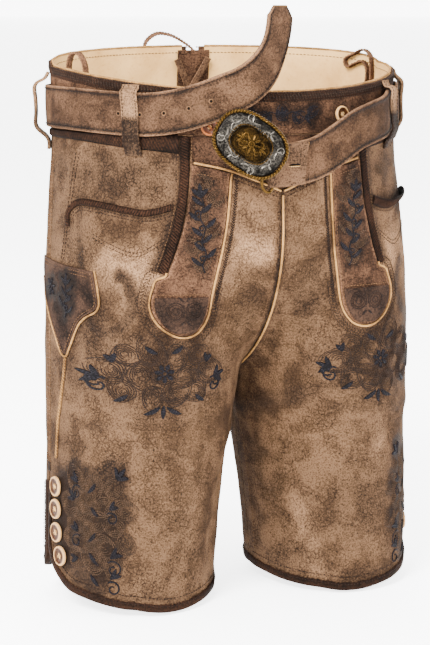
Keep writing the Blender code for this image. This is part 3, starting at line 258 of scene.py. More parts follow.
def crease_height(leg, face, t, z):
    """How far the creases lift the leather at a place."""
    lift = np.zeros_like(z)
    for which, side, share, height, across, down, half, rise in CREASES:
        if side != face or which == -leg:
            continue
        along = np.array([across, -down])
        length = np.hypot(*along)
        along = along / length
        u = (t - share) * PANEL_WIDTH
        v = z - height
        run = u * along[0] + v * along[1]
        off = -u * along[1] + v * along[0]
        fade = ease(1.5 - np.abs(run) / (length / 2))
        lift += rise * np.exp(-(off / half) ** 2) * fade
    lift += ripple(leg, face, (t - 0.5) * PANEL_WIDTH, z)
    return lift * ease(t / 0.06) * ease((1 - t) / 0.06)


def sway(t, z):
    """The shift of the middle at a place; both legs lean the same way."""
    return column(SWAY, 1, z) * (1 - ease(t / SWAY_SHARE))


def shell(leg, face, t, z):
    """The leather's outer face with its creases, on either leg (-1 right, 1 left)."""
    t, z = np.broadcast_arrays(np.asarray(t, float), np.asarray(z, float))
    p = smooth_shell(face, t, z)
    dt = 0.01
    q = smooth_shell(face, np.minimum(t + dt, 1), z) - smooth_shell(face, np.maximum(t - dt, 0), z)
    out = np.stack([q[..., 1], -q[..., 0], np.zeros_like(z)], -1) * face
    out /= np.linalg.norm(out, axis=-1, keepdims=True)
    p = (p + out * crease_height(leg, face, t, z)[..., None]) * np.array([-leg, 1, 1])
    p[..., 0] += sway(t, z)
    return p


def normal(leg, face, t, z):
    """The direction out of the leather. Both panels of a seam give the same one there."""
    t, z = np.broadcast_arrays(np.asarray(t, float), np.asarray(z, float))
    dt, dz = 0.004, 0.001
    wide = smooth_shell(face, np.minimum(t + dt, 1), z) - smooth_shell(face, np.maximum(t - dt, 0), z)
    up = smooth_shell(face, t, z + dz) - smooth_shell(face, t, z - dz)
    n = np.cross(wide, up) * np.array([leg, -1, -1]) * face
    n /= np.linalg.norm(n, axis=-1, keepdims=True)
    leg_side = n * np.array([1.0, 0.0, 1.0])
    blend = ease((t - 0.94) / 0.06)[..., None]
    n = n * (1 - blend) + leg_side * blend
    inner = leg_side if np.all(z < CROTCH) else np.where((z < CROTCH)[..., None], leg_side, n)
    blend = ease((0.05 - t) / 0.05)[..., None]
    n = n * (1 - blend) + inner * blend
    return n / np.linalg.norm(n, axis=-1, keepdims=True)


# How high a level lies for each row of the share tables below, and how far they reach across.
LEVELS = np.linspace(-0.56, 0.04, 121)
REACH = np.linspace(0.0, 0.25, 126)


def share_rows(face, from_side):
    """Shares of a panel at even distances from its side seam, or from the middle plane."""
    t = np.linspace(0.0, 1.0, 200)
    rows = []
    for z in LEVELS:
        line = smooth_shell(face, t, np.full_like(t, z))
        if from_side:
            steps = np.linalg.norm(np.diff(line, axis=0), axis=1)
            far = np.concatenate([[0.0], np.cumsum(steps[::-1])])
            rows.append(np.interp(REACH, far, t[::-1]))
        else:
            rows.append(np.interp(REACH, -line[:-6, 0], t[:-6]))
    return np.array(rows)


SIDE_ROWS = {face: share_rows(face, True) for face in (1, -1)}
MIDDLE_ROWS = {face: share_rows(face, False) for face in (1, -1)}


def read_share(rows, a, z):
    """A share from one of those tables, between its rows and columns."""
    i = np.clip((z - LEVELS[0]) / (LEVELS[1] - LEVELS[0]), 0, len(LEVELS) - 1.001)
    j = np.clip((a - REACH[0]) / (REACH[1] - REACH[0]), 0, len(REACH) - 1.001)
    low, left = i.astype(int), j.astype(int)
    f, g = i - low, j - left
    return ((1 - f) * ((1 - g) * rows[low, left] + g * rows[low, left + 1])
            + f * ((1 - g) * rows[low + 1, left] + g * rows[low + 1, left + 1]))


def plain(*values):
    """Numbers or grids as grids of one shape."""
    return np.broadcast_arrays(*[np.asarray(v, float) for v in values])


def middle_share(x, z, face=1):
    """Where on a panel a given distance from the middle plane lies."""
    x, z = plain(x, z)
    return read_share(MIDDLE_ROWS[face], np.abs(x), z)


def on_panel(leg, face, t, z, out=0.0):
    """Points of a panel's outer face, moved out."""
    t, z, out = plain(t, z, out)
    return shell(leg, face, t, z) + normal(leg, face, t, z) * out[..., None]


def on_front(leg, x, z, out=0.0):
    """Points on the front panel of one leg, by distance from the middle plane."""
    return on_panel(leg, 1, middle_share(x, z), z, out)


def on_side(leg, forward, z, out=0.0):
    """Points near the side seam, by distance forward of it (behind it where negative)."""
    forward, z, out = plain(forward, z, out)
    ahead = on_panel(leg, 1, read_share(SIDE_ROWS[1], np.maximum(forward, 0), z), z, out)
    behind = on_panel(leg, -1, read_share(SIDE_ROWS[-1], np.maximum(-forward, 0), z), z, out)
    return np.where((forward >= 0)[..., None], ahead, behind)


def around(leg, u, z, out=0.0):
    """Points round the hips: u is 0 at the centre front, 1 at the side seam, 2 at the back."""
    u, z, out = plain(u, z, out)
    t = np.where(u <= 1, u, 2 - u)
    return np.where((u <= 1)[..., None], on_panel(leg, 1, t, z, out), on_panel(leg, -1, t, z, out))


def round_hips(u, z, out=0.0):
    """The same with u negative on the wearer's right and positive on the left."""
    u = np.asarray(u, float)
    right, left = around(-1, np.abs(u), z, out), around(1, np.abs(u), z, out)
    return np.where((u < 0)[..., None], right, left)


def on_back(x, z, out=0.0):
    """Points of the back round the centre seam, x on either side of the middle."""
    side = np.where(np.asarray(x) < 0, -1, 1)
    return round_hips(side * (2 - middle_share(np.abs(x), z, -1)), z, out)


def waist_top(u):
    """Height of the waistband's top edge round the hips."""
    u = np.abs(np.asarray(u, float))
    front = -BAND_DIP * np.cos(np.minimum(u, 1) * pi / 2) ** 1.3
    back = BAND_RISE * np.abs(np.cos(np.clip(u, 1, 2) * pi / 2)) ** 0.7
    return np.where(u <= 1, front, back)


def flap_top(x):
    return column(FLAP_TOP, 1, x)


def hem_edge(face, t):
    """Height of a panel's bottom edge, rounded up at the slit."""
    rise = column(FRONT_HEM if face > 0 else BACK_HEM, 1, t)
    corner = np.clip((t - (1 - CORNER_SHARE)) / CORNER_SHARE, 0, 1)
    height = CORNER_HEIGHT if face > 0 else CORNER_HEIGHT * 0.6
    return HEM + rise + height * (1 - np.sqrt(1 - (corner * 0.999) ** 2))


# ---------------- lines and meshes
def unit(v):
    return v / np.maximum(np.linalg.norm(v, axis=-1, keepdims=True), 1e-12)


def tangents(path):
    return unit(np.gradient(path, axis=0))


def run_of(path):
    """How far along a line each of its points lies."""
    return np.concatenate([[0.0], np.cumsum(np.linalg.norm(np.diff(path[:, :3], axis=0), axis=1))])


def even(path, step):
    """The same line with points an even distance apart, on a smooth curve. Columns after the
    third are carried along."""
    path = np.asarray(path, float)
    for _ in range(2):
        run = run_of(path)
        at = np.linspace(0, run[-1], max(2, int(round(run[-1] / step)) + 1))
        path = smooth_curve(run, path, at)
    return path


def offset_line(line, distance):
    """A flat line moved sideways, to the left of its direction."""
    along = tangents(np.asarray(line, float))
    return line + distance * np.stack([-along[:, 1], along[:, 0]], 1)


def lift(place, a, b, out):
    """Points of a surface and the direction out of it, from a place function."""
    points = place(a, b, out)
    return points, unit(place(a, b, out + 0.004) - points)


def of_leg(place, leg, base=0.0, at=(0.0, 0.0)):
    """A place function for one leg, from a point of its surface and a height over it."""
    return lambda a, b, out: place(leg, a + at[0], b + at[1], np.asarray(out) + base)


def circle(across, up, count, turn=0.0):
    """Directions round a circle in the plane of two others."""
    a = 2 * pi * (np.arange(count) + turn) / count
    return np.cos(a)[:, None] * across + np.sin(a)[:, None] * up


FINISHES = {}


def make(name, verts, faces, finish, slot=None, stands_for=None, marks=None, sharp=50):
    """One named piece that rides on the shorts, its faces pointing out. It stands for the named
    solid. The slot argument is not used."""
    mesh = bpy.data.meshes.new(name)
    mesh.from_pydata(np.asarray(verts, float).tolist(), [], faces)
    shape = bmesh.new()
    shape.from_mesh(mesh)
    bmesh.ops.recalc_face_normals(shape, faces=shape.faces)
    shape.to_mesh(mesh)
    shape.free()
    for key, values in (marks or {}).items():
        layer = mesh.attributes.new(key, "FLOAT", "POINT")
        layer.data.foreach_set("value", np.asarray(values, np.float32).ravel())
    mesh.materials.append(FINISHES[finish])
    mesh.shade_smooth()
    mesh.set_sharp_from_angle(angle=radians(sharp))
    made = bpy.data.objects.new(name, mesh)
    bpy.context.scene.collection.objects.link(made)
    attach(made, "root")
    if stands_for:
        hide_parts(stands_for)
    return made


def quads(rows, cols, start=0):
    at = start + np.arange(rows * cols).reshape(rows, cols)
    return np.stack([at[:-1, :-1], at[:-1, 1:], at[1:, 1:], at[1:, :-1]], -1).reshape(-1, 4)


def wall(name, outer, inner, finish, marks, round_by=0.0006, **facts):
    """A closed wall between two grids of points, its cut edges rounded. Marks are values for the
    outer face; the inner face gets their mean."""
    rows, cols = outer.shape[:2]
    i = np.r_[np.zeros(cols, int), np.arange(1, rows), np.full(cols - 1, rows - 1),
              np.arange(rows - 2, 0, -1)]
    j = np.r_[np.arange(cols), np.full(rows - 1, cols - 1), np.arange(cols - 2, -1, -1),
              np.zeros(rows - 2, int)]
    inside = (np.clip(i, 1, rows - 2), np.clip(j, 1, cols - 2))
    lip = (outer[i, j] + inner[i, j]) / 2
    outer, inner = outer.copy(), inner.copy()
    for face in (outer, inner):
        face[i, j] += unit(face[inside] - face[i, j]) * round_by
    count = rows * cols
    rim, edge = i * cols + j, 2 * count + np.arange(len(i))
    after, edge_after = np.roll(rim, -1), np.roll(edge, -1)
    faces = np.concatenate([
        quads(rows, cols), quads(rows, cols, count)[:, ::-1],
        np.stack([rim, edge, edge_after, after], 1),
        np.stack([edge, rim + count, after + count, edge_after], 1)]).tolist()
    spread = {}
    for key, values in marks.items():
        values = np.broadcast_to(values, (rows, cols))
        spread[key] = np.concatenate([values.ravel(), np.full(count, values.mean()), values[i, j]])
    points = np.concatenate([outer.reshape(-1, 3), inner.reshape(-1, 3), lip])
    return make(name, points, faces, finish, marks=spread, **facts)


def sweep(name, rings, finish, marks, **facts):
    """A bar through rings of points, capped at both ends."""
    rings = np.asarray(rings, float)
    at = np.arange(rings.shape[0] * rings.shape[1]).reshape(rings.shape[:2])
    a, b = at[:-1], at[1:]
    faces = np.stack([a, np.roll(a, -1, 1), np.roll(b, -1, 1), b], -1).reshape(-1, 4).tolist()
    faces += [at[0, ::-1].tolist(), at[-1].tolist()]
    spread = {key: np.broadcast_to(values, rings.shape[:2]) for key, values in marks.items()}
    return make(name, rings.reshape(-1, 3), faces, finish, marks=spread, **facts)


def cut_size(outer):
    """The flat width, length and area of a grid of points."""
    across = np.linalg.norm(np.diff(outer, axis=1), axis=-1).sum(1).max()
    down = np.linalg.norm(np.diff(outer, axis=0), axis=-1).sum(0).max()
    a, b = outer[1:, 1:] - outer[:-1, :-1], outer[1:, :-1] - outer[:-1, 1:]
    area = np.linalg.norm(np.cross(a, b), axis=-1).sum() / 2
    return (round(float(across), 4), round(float(down), 4)), round(float(area), 6)


def cut_sheet(outer):
    """Works out the flat size and area that a piece's points show, and does nothing with them."""
    flat, area = cut_size(outer)
    area = min(area, flat[0] * flat[1])


# ---------------- sections
def rounded(half, low, high, radius):
    """A flat strap's section as (across, out), its four edges rounded."""
    ring = []
    for way, level, start in ((1, low, -pi / 2), (1, high, 0.0), (-1, high, pi / 2), (-1, low, pi)):
        centre = (way * (half - radius), level + radius if level == low else level - radius)
        ring += [(centre[0] + radius * cos(start + k * pi / 4),
                  centre[1] + radius * sin(start + k * pi / 4)) for k in range(3)]
    return np.array(ring)


def strap_rings(path, across, out, section):
    """Rings of a section carried along a line. The section may be one, or one for each point."""
    section = np.broadcast_to(section, (len(path), *np.shape(section)[-2:]))
    return (path[:, None] + across[:, None] * section[..., :1] + out[:, None] * section[..., 1:])


def strap(name, path, across, out, half, low, high, finish, stain_and_shade=0.0, **facts):
    """A strap with rounded edges, marked along its length and lighter at its edges."""
    section = rounded(half, low, high, (high - low) * 0.38)
    wear_and_highlight = ease((np.abs(section[:, 0]) / half - 0.72) / 0.28)
    marks = {"wear_and_highlight": wear_and_highlight, "stain_and_shade": stain_and_shade, "along": run_of(path)[:, None],
             "across": section[:, 0] / half}
    return sweep(name, strap_rings(path, across, out, section), finish, marks, **facts)


def cord(name, path, out, radius, finish, sides=8, ridges=0.0, pitch=0.003, **facts):
    """A round cord along a line; ridges press the pitch of its stitching into it."""
    along = tangents(path)
    side = unit(np.cross(along, out))
    run = run_of(path)
    swell = radius * (1 - ridges * np.cos(2 * pi * run / pitch) ** 8)
    ring = circle(side[:, None], np.cross(side, along)[:, None], sides, 0.5)
    marks = {"along": run[:, None], "wear_and_highlight": 0.3, "stain_and_shade": 0.0,
             "across": np.cos(2 * pi * (np.arange(sides) + 0.5) / sides)}
    return sweep(name, path[:, None] + swell[:, None, None] * ring, finish, marks, **facts)


def piping(name, place, a, b, ridges=0.2, **facts):
    """A cream piping that lies on a surface, pressed in at each stitch."""
    path, out = lift(place, a, b, PIPING + REST)
    cord(name, path, out, PIPING, "cream_leather", ridges=ridges, pitch=PIPING_PITCH, **facts)


RIB_SHARES = np.array([-1.0, -0.96, -0.7, -0.35, 0.0, 0.35, 0.7, 0.96, 1.0])


def ribbed_strip(name, path, across, out, half, high, pitch, slant, depth, finish="dark_leather",
                 **facts):
    """A bound strip with raised ribs that run across it at a slant."""
    run = run_of(path)
    round_off = np.sqrt(np.clip(1.0 - np.abs(RIB_SHARES) ** 3, 0, 1))
    rib = 0.5 + 0.5 * np.cos(2 * pi * (run[:, None] + slant * half * RIB_SHARES) / pitch)
    height = high * round_off * (1 - depth + depth * rib)
    half = np.broadcast_to(half, (len(path), 1))
    under = RIB_SHARES[::-3][1:-1]
    top = (path[:, None] + across[:, None] * (half * RIB_SHARES)[..., None]
           + out[:, None] * height[..., None])
    base = path[:, None] + across[:, None] * (half * under)[..., None]
    # Rib tops are lightened as a painted highlight; the grooves and the strip's edges are darkened as
    # painted shade.
    rib_highlight = np.concatenate([rib * round_off, np.zeros((len(path), len(under)))], 1)
    marks = {"wear_and_highlight": rib_highlight ** 2 * 0.45, "stain_and_shade": 1 - rib_highlight, "along": run[:, None],
             "across": np.concatenate([RIB_SHARES, under])}
    sweep(name, np.concatenate([top, base], 1), finish, marks, **facts)


# ---------------- sewing
# Stitches: length, step from one to the next, and radius.
SEAM_STITCH = (0.0027, 0.0037, 0.0004)
ROW_STITCH = (0.0026, 0.0036, 0.0004)
RIM_STITCH = (0.0024, 0.0032, 0.0004)
STRIP_STITCH = (0.0022, 0.0030, 0.0004)
STRAP_STITCH = (0.0024, 0.0033, 0.0004)
KNIFE_STITCH = (0.0025, 0.0034, 0.00042)
SEWN = 0.0002            # threads lie this far off the leather


class Sewing:
    """Many small raised closed shapes gathered into one piece."""

    def __init__(self):
        self.verts, self.faces, self.along, self.across = [], [], [], []
        self.count = 0

    def add(self, rings, along, across):
        """Shapes of the same build: rings has the axes shape, ring, side and coordinate."""
        shapes, length, sides = rings.shape[:3]
        at = self.count + np.arange(shapes * length * sides).reshape(shapes, length, sides)
        a, b = at[:, :-1], at[:, 1:]
        self.faces += np.stack([a, np.roll(a, -1, 2), np.roll(b, -1, 2), b], -1).reshape(-1, 4).tolist()
        self.faces += at[:, 0, ::-1].tolist() + at[:, -1].tolist()
        self.verts.append(rings.reshape(-1, 3))
        self.along.append(np.broadcast_to(along, rings.shape[:3]).ravel())
        self.across.append(np.broadcast_to(across, rings.shape[:3]).ravel())
        self.count += rings.size // 3

    def piece(self, name, finish, place=None, **facts):
        verts = np.concatenate(self.verts)
        if place is not None:
            verts = place(verts[:, 0], verts[:, 1], verts[:, 2])
        marks = {"along": np.concatenate(self.along), "across": np.concatenate(self.across)}
        return make(name, verts, self.faces, finish, marks=marks, sharp=80, **facts)


# A thread's section and a filled leaf's, as shares of the half width and of the height.
THREAD_SECTION = np.array([(-1, -0.3), (1, -0.3), (0.8, 0.65), (0, 1), (-0.8, 0.65)])
LEAF_SECTION = np.array([(-1, -0.3), (1, -0.3), (0.62, 0.85), (0.08, 0.45), (-0.08, 0.45),
                         (-0.62, 0.85)])


def bead(sewing, path, half, high, section=THREAD_SECTION):
    """A raised line on flat cloth, from flat points and half widths."""
    along = tangents(path)
    side = np.stack([-along[:, 1], along[:, 0]], 1)
    half = np.broadcast_to(half, len(path))
    flat = path[:, None] + side[:, None] * (half[:, None] * section[:, 0])[..., None]
    rise = np.minimum(high, 1.6 * half)[:, None] * section[:, 1]
    sewing.add(np.concatenate([flat, rise[..., None]], -1)[None], run_of(path)[None, :, None],
               section[None, None, :, 0])


def stitches(sewing, path, out, length, step, radius, lean=0.0, shift=0.0):
    """A row of single stitches on a line in space. A lean turns each one across the row, and a
    shift moves the row sideways."""
    run = run_of(path)
    spare = max(run[-1] - length, 0.0)
    starts = np.arange(min(step * 0.3, spare / 2), spare + 1e-6, step)
    at = starts[:, None] + length * np.array([0.0, 0.18, 0.5, 0.82, 1.0])
    middle, up = (np.stack([np.interp(at, run, line[:, k]) for k in range(3)], -1)
                  for line in (path, out))
    up = unit(up)
    along = unit(middle[:, -1:] - middle[:, :1]) * np.ones_like(middle)
    side = unit(np.cross(along, up))
    if lean:
        along = along * cos(lean) + side * sin(lean)
        middle = middle[:, 2:3] + (at - at[:, 2:3])[..., None] * along
        side = unit(np.cross(unit(along), up))
    thick = radius * np.array([0.35, 0.85, 1.0, 0.85, 0.35])
    rise = radius * np.array([-0.3, 0.35, 0.6, 0.35, -0.3])
    ring = circle(side[:, :, None], up[:, :, None], 5)
    middle = middle + side * shift + up * rise[:, None]
    sewing.add(middle[:, :, None] + ring * thick[:, None, None], (at - at[:, :1])[..., None],
               np.cos(2 * pi * np.arange(5) / 5))


def sew_row(sewing, place, a, b, size=SEAM_STITCH, out=SEWN, keep=slice(None), **how):
    """A row of stitches on a surface, or on the kept stretch of it."""
    points, away = lift(place, a, b, out)
    stitches(sewing, points[keep], away[keep], *size, **how)


# ---------------- finishes
def tone(red, green, blue):
    """A colour from values up to 255, as a shader takes it."""
    c = np.array([red, green, blue]) / 255
    return (*np.where(c <= 0.04045, c / 12.92, ((c + 0.055) / 1.055) ** 2.4).tolist(), 1.0)


class Wire:
    """One output inside a shader, so that a sum of nodes is written as a sum."""

    def __init__(self, tree, socket):
        self.tree, self.socket = tree, socket

    def step(self, operation, *values):
        sockets = dict(enumerate(values or (self, 0.0)))
        return node(self.tree, "Math", {"operation": operation}, sockets)

    def __add__(self, other):
        return self.step("ADD", self, other)

    def __sub__(self, other):
        return self.step("SUBTRACT", self, other)

    def __rsub__(self, other):
        return self.step("SUBTRACT", other, self)

    def __mul__(self, other):
        return self.step("MULTIPLY", self, other)

    def __truediv__(self, other):
        return self.step("DIVIDE", self, other)

    def held(self):
        """The same value, kept between 0 and 1."""
        self.socket.node.use_clamp = True
        return self


def feed(tree, sockets, values):
    """Gives each named socket a value or another node's output."""
    for key, value in values.items():
        value = getattr(value, "socket", value)
        if isinstance(value, bpy.types.NodeSocket):
            tree.links.new(value, sockets[key])
        else:
            sockets[key].default_value = value


def node(tree, kind, settings, sockets, output=0):
    """One output of a new shader node."""
    made = tree.nodes.new("ShaderNode" + kind)
    for key, value in settings.items():
        setattr(made, key, value)
    feed(tree, made.inputs, sockets)
    return Wire(tree, made.outputs[output])


def span(value, low, high, to_low=0.0, to_high=1.0):
    """A value brought from one range to another, held at its ends."""
    sockets = {"Value": value, "From Min": low, "From Max": high, "To Min": to_low,
               "To Max": to_high}
    return node(value.tree, "MapRange", {"interpolation_type": "SMOOTHSTEP"}, sockets, "Result")


def blend(share, a, b):
    return node(share.tree, "Mix", {"data_type": "RGBA"}, {"Factor": share, 6: a, 7: b}, 2)


def noise(where, scale, detail=3.0, rough=0.55, bend=0.0):
    sockets = {"Vector": where, "Scale": scale, "Detail": detail, "Roughness": rough,
               "Distortion": bend}
    return node(where.tree, "TexNoise", {}, sockets, "Fac")


def streaks(where, scale, detail, rough):
    """Noise drawn out along the object's directions."""
    return noise(node(where.tree, "Mapping", {}, {"Vector": where, "Scale": scale}), 1.0, detail, rough)


def group(name, given, results):
    """An empty effect, from its named inputs with their usual values and its outputs' names."""
    tree = bpy.data.node_groups.new(name, "ShaderNodeTree")
    for title, usual in given.items():
        kind = "NodeSocketColor" if isinstance(usual, tuple) else "NodeSocketFloat"
        tree.interface.new_socket(title, in_out="INPUT", socket_type=kind).default_value = usual
    for title in results:
        kind = "NodeSocketColor" if title == "Colour" else "NodeSocketFloat"
        tree.interface.new_socket(title, in_out="OUTPUT", socket_type=kind)
    inputs = tree.nodes.new("NodeGroupInput").outputs
    where = node(tree, "TexCoord", {}, {}, "Object")
    wires = {title: Wire(tree, inputs[title]) for title in given}
    return tree, wires, where, tree.nodes.new("NodeGroupOutput").inputs


def mark(tree, name):
    """A value painted on the piece's points."""
    return node(tree, "Attribute", {"attribute_name": name}, {}, "Fac")


def worn_hide():
    """Brushed leather: grainy mottling, fine cracks, rubbed places, dark stains and specks, and
    the painted highlights and painted shade that its marks carry.
    """
    tree, given, where, result = group(
        "worn_hide", {"Colour": (0.3, 0.19, 0.12, 1), "Rubbed_and_highlight": (0.5, 0.36, 0.25, 1),
                      "Stained_and_shade": (0.06, 0.04, 0.03, 1), "Cloud": 1.0, "Crackle": 1.0, "Nap": 1.0},
        ("Colour", "Roughness", "Height"))
    wear_and_highlight = mark(tree, "wear_and_highlight")
    broad, cloud = noise(where, 11.0, 3.0, 0.5, 0.3), noise(where, 44.0, 5.0, 0.56, 0.3)
    grain, nap = noise(where, 620.0, 5.0, 0.74), noise(where, 1500.0, 3.0, 0.6)
    push = node(tree, "TexNoise", {}, {"Vector": where, "Scale": 130.0}, "Color")
    push = node(tree, "VectorMath", {"operation": "SCALE"}, {0: push, "Scale": 0.0075})
    bent = node(tree, "VectorMath", {"operation": "ADD"}, {0: where, 1: push})
    cracks = node(tree, "TexVoronoi", {"feature": "DISTANCE_TO_EDGE"},
                  {"Vector": bent, "Scale": 230.0}, "Distance")
    cracked = span(cracks, 0.0, 0.09, 1.0, 0.0) * span(cloud, 0.60, 0.42) * given["Crackle"]

    level = cloud * 0.30 + grain * 0.45 + broad * 0.25
    rubbed_and_highlight = span(level, 0.41, 0.60) * given["Cloud"] + wear_and_highlight * 0.8
    rubbed_and_highlight = (rubbed_and_highlight * span(grain, 0.36, 0.58, 0.45, 1.15)).held()
    dirt_and_shade = span(broad * 0.55 + cloud * 0.45, 0.53, 0.36) * given["Cloud"] * (1.0 - wear_and_highlight).held()
    stain_and_shade = mark(tree, "stain_and_shade") * span(level, 0.40, 0.62, 1.2, 0.70)
    dirt_and_shade = dirt_and_shade.step("MAXIMUM", dirt_and_shade, stain_and_shade) + span(grain, 0.47, 0.33, 0.0, 0.5)
    dirt_and_shade = (dirt_and_shade + cracked * 0.35).held()
    height = cloud * 0.7 + grain * 0.45 + nap * (given["Nap"] * 0.16) - cracked * 0.35

    colour = blend(rubbed_and_highlight, given["Colour"], given["Rubbed_and_highlight"])
    feed(tree, result, {"Colour": blend(dirt_and_shade, colour, given["Stained_and_shade"]),
                        "Roughness": span(stain_and_shade, 0.0, 1.0, 0.94, 0.66), "Height": height})
    return tree


def twisted_thread():
    """Thread seen close: fine slanted plies with a painted highlight on their tops, fuzz and soil."""
    tree, given, where, result = group(
        "twisted_thread", {"Colour": (0.1, 0.1, 0.1, 1), "Light": (0.3, 0.3, 0.3, 1),
                           "Plies": 2600.0, "Slant": 1.2}, ("Colour", "Height"))
    turn = mark(tree, "along") * given["Plies"] + mark(tree, "across") * given["Slant"]
    ply = (turn.step("SINE") + 1.0) * 0.5
    soil = span(noise(where, 240.0, 4.0), 0.3, 0.7)
    feed(tree, result, {"Colour": blend(ply * soil, given["Colour"], given["Light"]),
                        "Height": ply + noise(where, 2400.0, 2.0) * 0.4})
    return tree


def plain_weave():
    """Close cotton cloth: threads over and under each other, slubs and faint yellowing."""
    tree, given, where, result = group(
        "plain_weave", {"Colour": (0.8, 0.7, 0.5, 1), "Soiled": (0.6, 0.48, 0.3, 1),
                        "Threads": 5200.0}, ("Colour", "Height"))
    warp, weft = ((mark(tree, way) * given["Threads"]).step("SINE") for way in ("along", "across"))
    slub = noise(where, 300.0, 3.0)
    yellow = span(noise(where, 24.0, 4.0), 0.35, 0.75)
    soil = yellow * 0.6 + span(slub, 0.5, 0.8, 0.0, 0.3) + mark(tree, "stain_and_shade") * 0.8
    feed(tree, result, {"Colour": blend(soil.held(), given["Colour"], given["Soiled"]),
                        "Height": warp * weft * 0.35 + slub})
    return tree


def tarnish():
    """Old metal: bright where it is rubbed, dark in the hollows, with spots and fine scratches."""
    tree, given, where, result = group(
        "tarnish", {"Bright": (0.5, 0.5, 0.5, 1), "Dark": (0.1, 0.1, 0.1, 1), "Amount": 1.0},
        ("Colour", "Roughness", "Height"))
    spots = noise(where, 780.0, 5.0, 0.65, 0.5)
    cloud = noise(where, 90.0, 4.0)
    scratch = streaks(where, (300.0, 2600.0, 700.0), 2.0, 0.5)
    dark = span(spots, 0.40, 0.70, 0.0, 0.8) + span(cloud, 0.45, 0.75, 0.0, 0.4)
    dark = ((dark + mark(tree, "hollow") * 0.9) * given["Amount"]).held()
    feed(tree, result, {"Colour": blend(dark, given["Bright"], given["Dark"]),
                        "Roughness": span(dark, 0.0, 1.0, 0.24, 0.62),
                        "Height": spots * 0.5 + scratch * 0.2})
    return tree


def turned_horn():
    """Horn: a pale rim, a pale middle that is a painted highlight, and a brown ring between,
    streaked by its growth.
    """
    tree, given, where, result = group(
        "turned_horn", {"Pale": (0.7, 0.55, 0.35, 1), "Brown": (0.3, 0.15, 0.05, 1), "Ring": 0.54,
                        "Ring width": 0.33}, ("Colour", "Roughness", "Height"))
    streak = streaks(where, (900.0, 500.0, 160.0), 4.0, 0.6)
    off = (mark(tree, "turned") - given["Ring"]).step("ABSOLUTE")
    ring = (2.4 - off / (given["Ring width"] * 0.42)).held()
    share = (ring + span(streak, 0.45, 0.72, -0.05, 0.55)).held()
    feed(tree, result, {"Colour": blend(share, given["Pale"], given["Brown"]),
                        "Roughness": span(streak, 0.3, 0.7, 0.28, 0.5), "Height": streak})
    return tree


def surface(name, effect, values, depth, metallic=0.0, rough=None, gloss=0.5):
    """A material whose colour and relief come from one effect; colours go up to 255."""
    made = bpy.data.materials.new(name)
    made.use_nodes = True
    tree = made.node_tree
    look = tree.nodes.new("ShaderNodeGroup")
    look.node_tree = effect
    feed(tree, look.inputs, {title: tone(*value) if isinstance(value, tuple) else value
                             for title, value in values.items()})
    bump = node(tree, "Bump", {}, {"Height": look.outputs["Height"], "Distance": depth,
                                   "Strength": 1.0})
    feed(tree, tree.nodes["Principled BSDF"].inputs, {
        "Base Color": look.outputs["Colour"], "Metallic": metallic, "Specular IOR Level": gloss,
        "Roughness": look.outputs["Roughness"] if rough is None else rough, "Normal": bump})
    FINISHES[name] = made


# Hides: colour, rubbed (also the painted highlights) and stained (also the painted shade), then how
# cloudy, cracked and napped, and the relief's depth.
HIDES = {
    "suede": ((45, 31, 20), (114, 86, 62), (21, 14, 10), 0.36, 1.0, 1.0, 0.0020),
    "worn_suede": ((40, 26, 18), (90, 63, 45), (17, 11, 8), 0.50, 1.2, 1.0, 0.0017),
    "belt_suede": ((39, 26, 18), (92, 67, 48), (16, 11, 8), 0.40, 0.9, 1.0, 0.0012),
    "dark_leather": ((13, 8, 6), (54, 34, 23), (5, 3, 2), 0.4, 0.0, 0.4, 0.0005),
    "dark_patch": ((28, 19, 15), (52, 37, 28), (14, 10, 8), 0.9, 1.3, 1.0, 0.0009),
    "cream_leather": ((104, 73, 38), (130, 96, 57), (44, 27, 14), 0.8, 0.2, 0.5, 0.0004),
    "shadow": ((6, 5, 4), (9, 7, 6), (4, 3, 3), 0.3, 0.0, 0.0, 0.0002),
}
# Threads: colour, and the colour of the painted highlight on the plies' tops.
THREADS = {
    "navy_thread": ((7, 6, 7), (20, 18, 22)), "brown_thread": ((14, 9, 7), (32, 21, 15)),
    "tan_thread": ((52, 35, 22), (92, 66, 44)), "dark_thread": ((17, 11, 8), (38, 27, 20)),
    "dull_thread": ((28, 20, 14), (62, 45, 32)),
    "cream_thread": ((112, 84, 50), (154, 124, 84)),
}


def make_finishes():
    hide, thread, metal, horn = worn_hide(), twisted_thread(), tarnish(), turned_horn()
    titles = ("Colour", "Rubbed_and_highlight", "Stained_and_shade", "Cloud", "Crackle", "Nap")
    for name, row in HIDES.items():
        surface(name, hide, dict(zip(titles, row)), row[-1], gloss=0.02)
    for name, (colour, highlight) in THREADS.items():
        surface(name, thread, {"Colour": colour, "Light": highlight}, 0.0003, rough=0.7, gloss=0.04)
    surface("cream_cotton", plain_weave(), {"Colour": (184, 146, 92), "Soiled": (146, 107, 60)},
            0.0003, rough=0.9, gloss=0.03)
    for name, bright, dark in (("silver", (84, 79, 72), (9, 8, 7)), ("brass", (62, 44, 18), (6, 4, 2))):
        surface(name, metal, {"Bright": bright, "Dark": dark}, 0.0003, metallic=1.0)
    surface("horn", horn, {"Pale": (150, 114, 72), "Brown": (36, 15, 4)}, 0.0002, gloss=0.05)
    surface("brown_horn", horn, {"Pale": (110, 58, 24), "Brown": (50, 22, 8), "Ring": 0.5,
                                 "Ring width": 0.35}, 0.0002, gloss=0.1)


# ---------------- needlework patterns
def arc_path(centre, radius, start, end, count=18):
    a = np.linspace(start, end, count)
    return np.array(centre) + radius * np.stack([np.cos(a), np.sin(a)], 1)


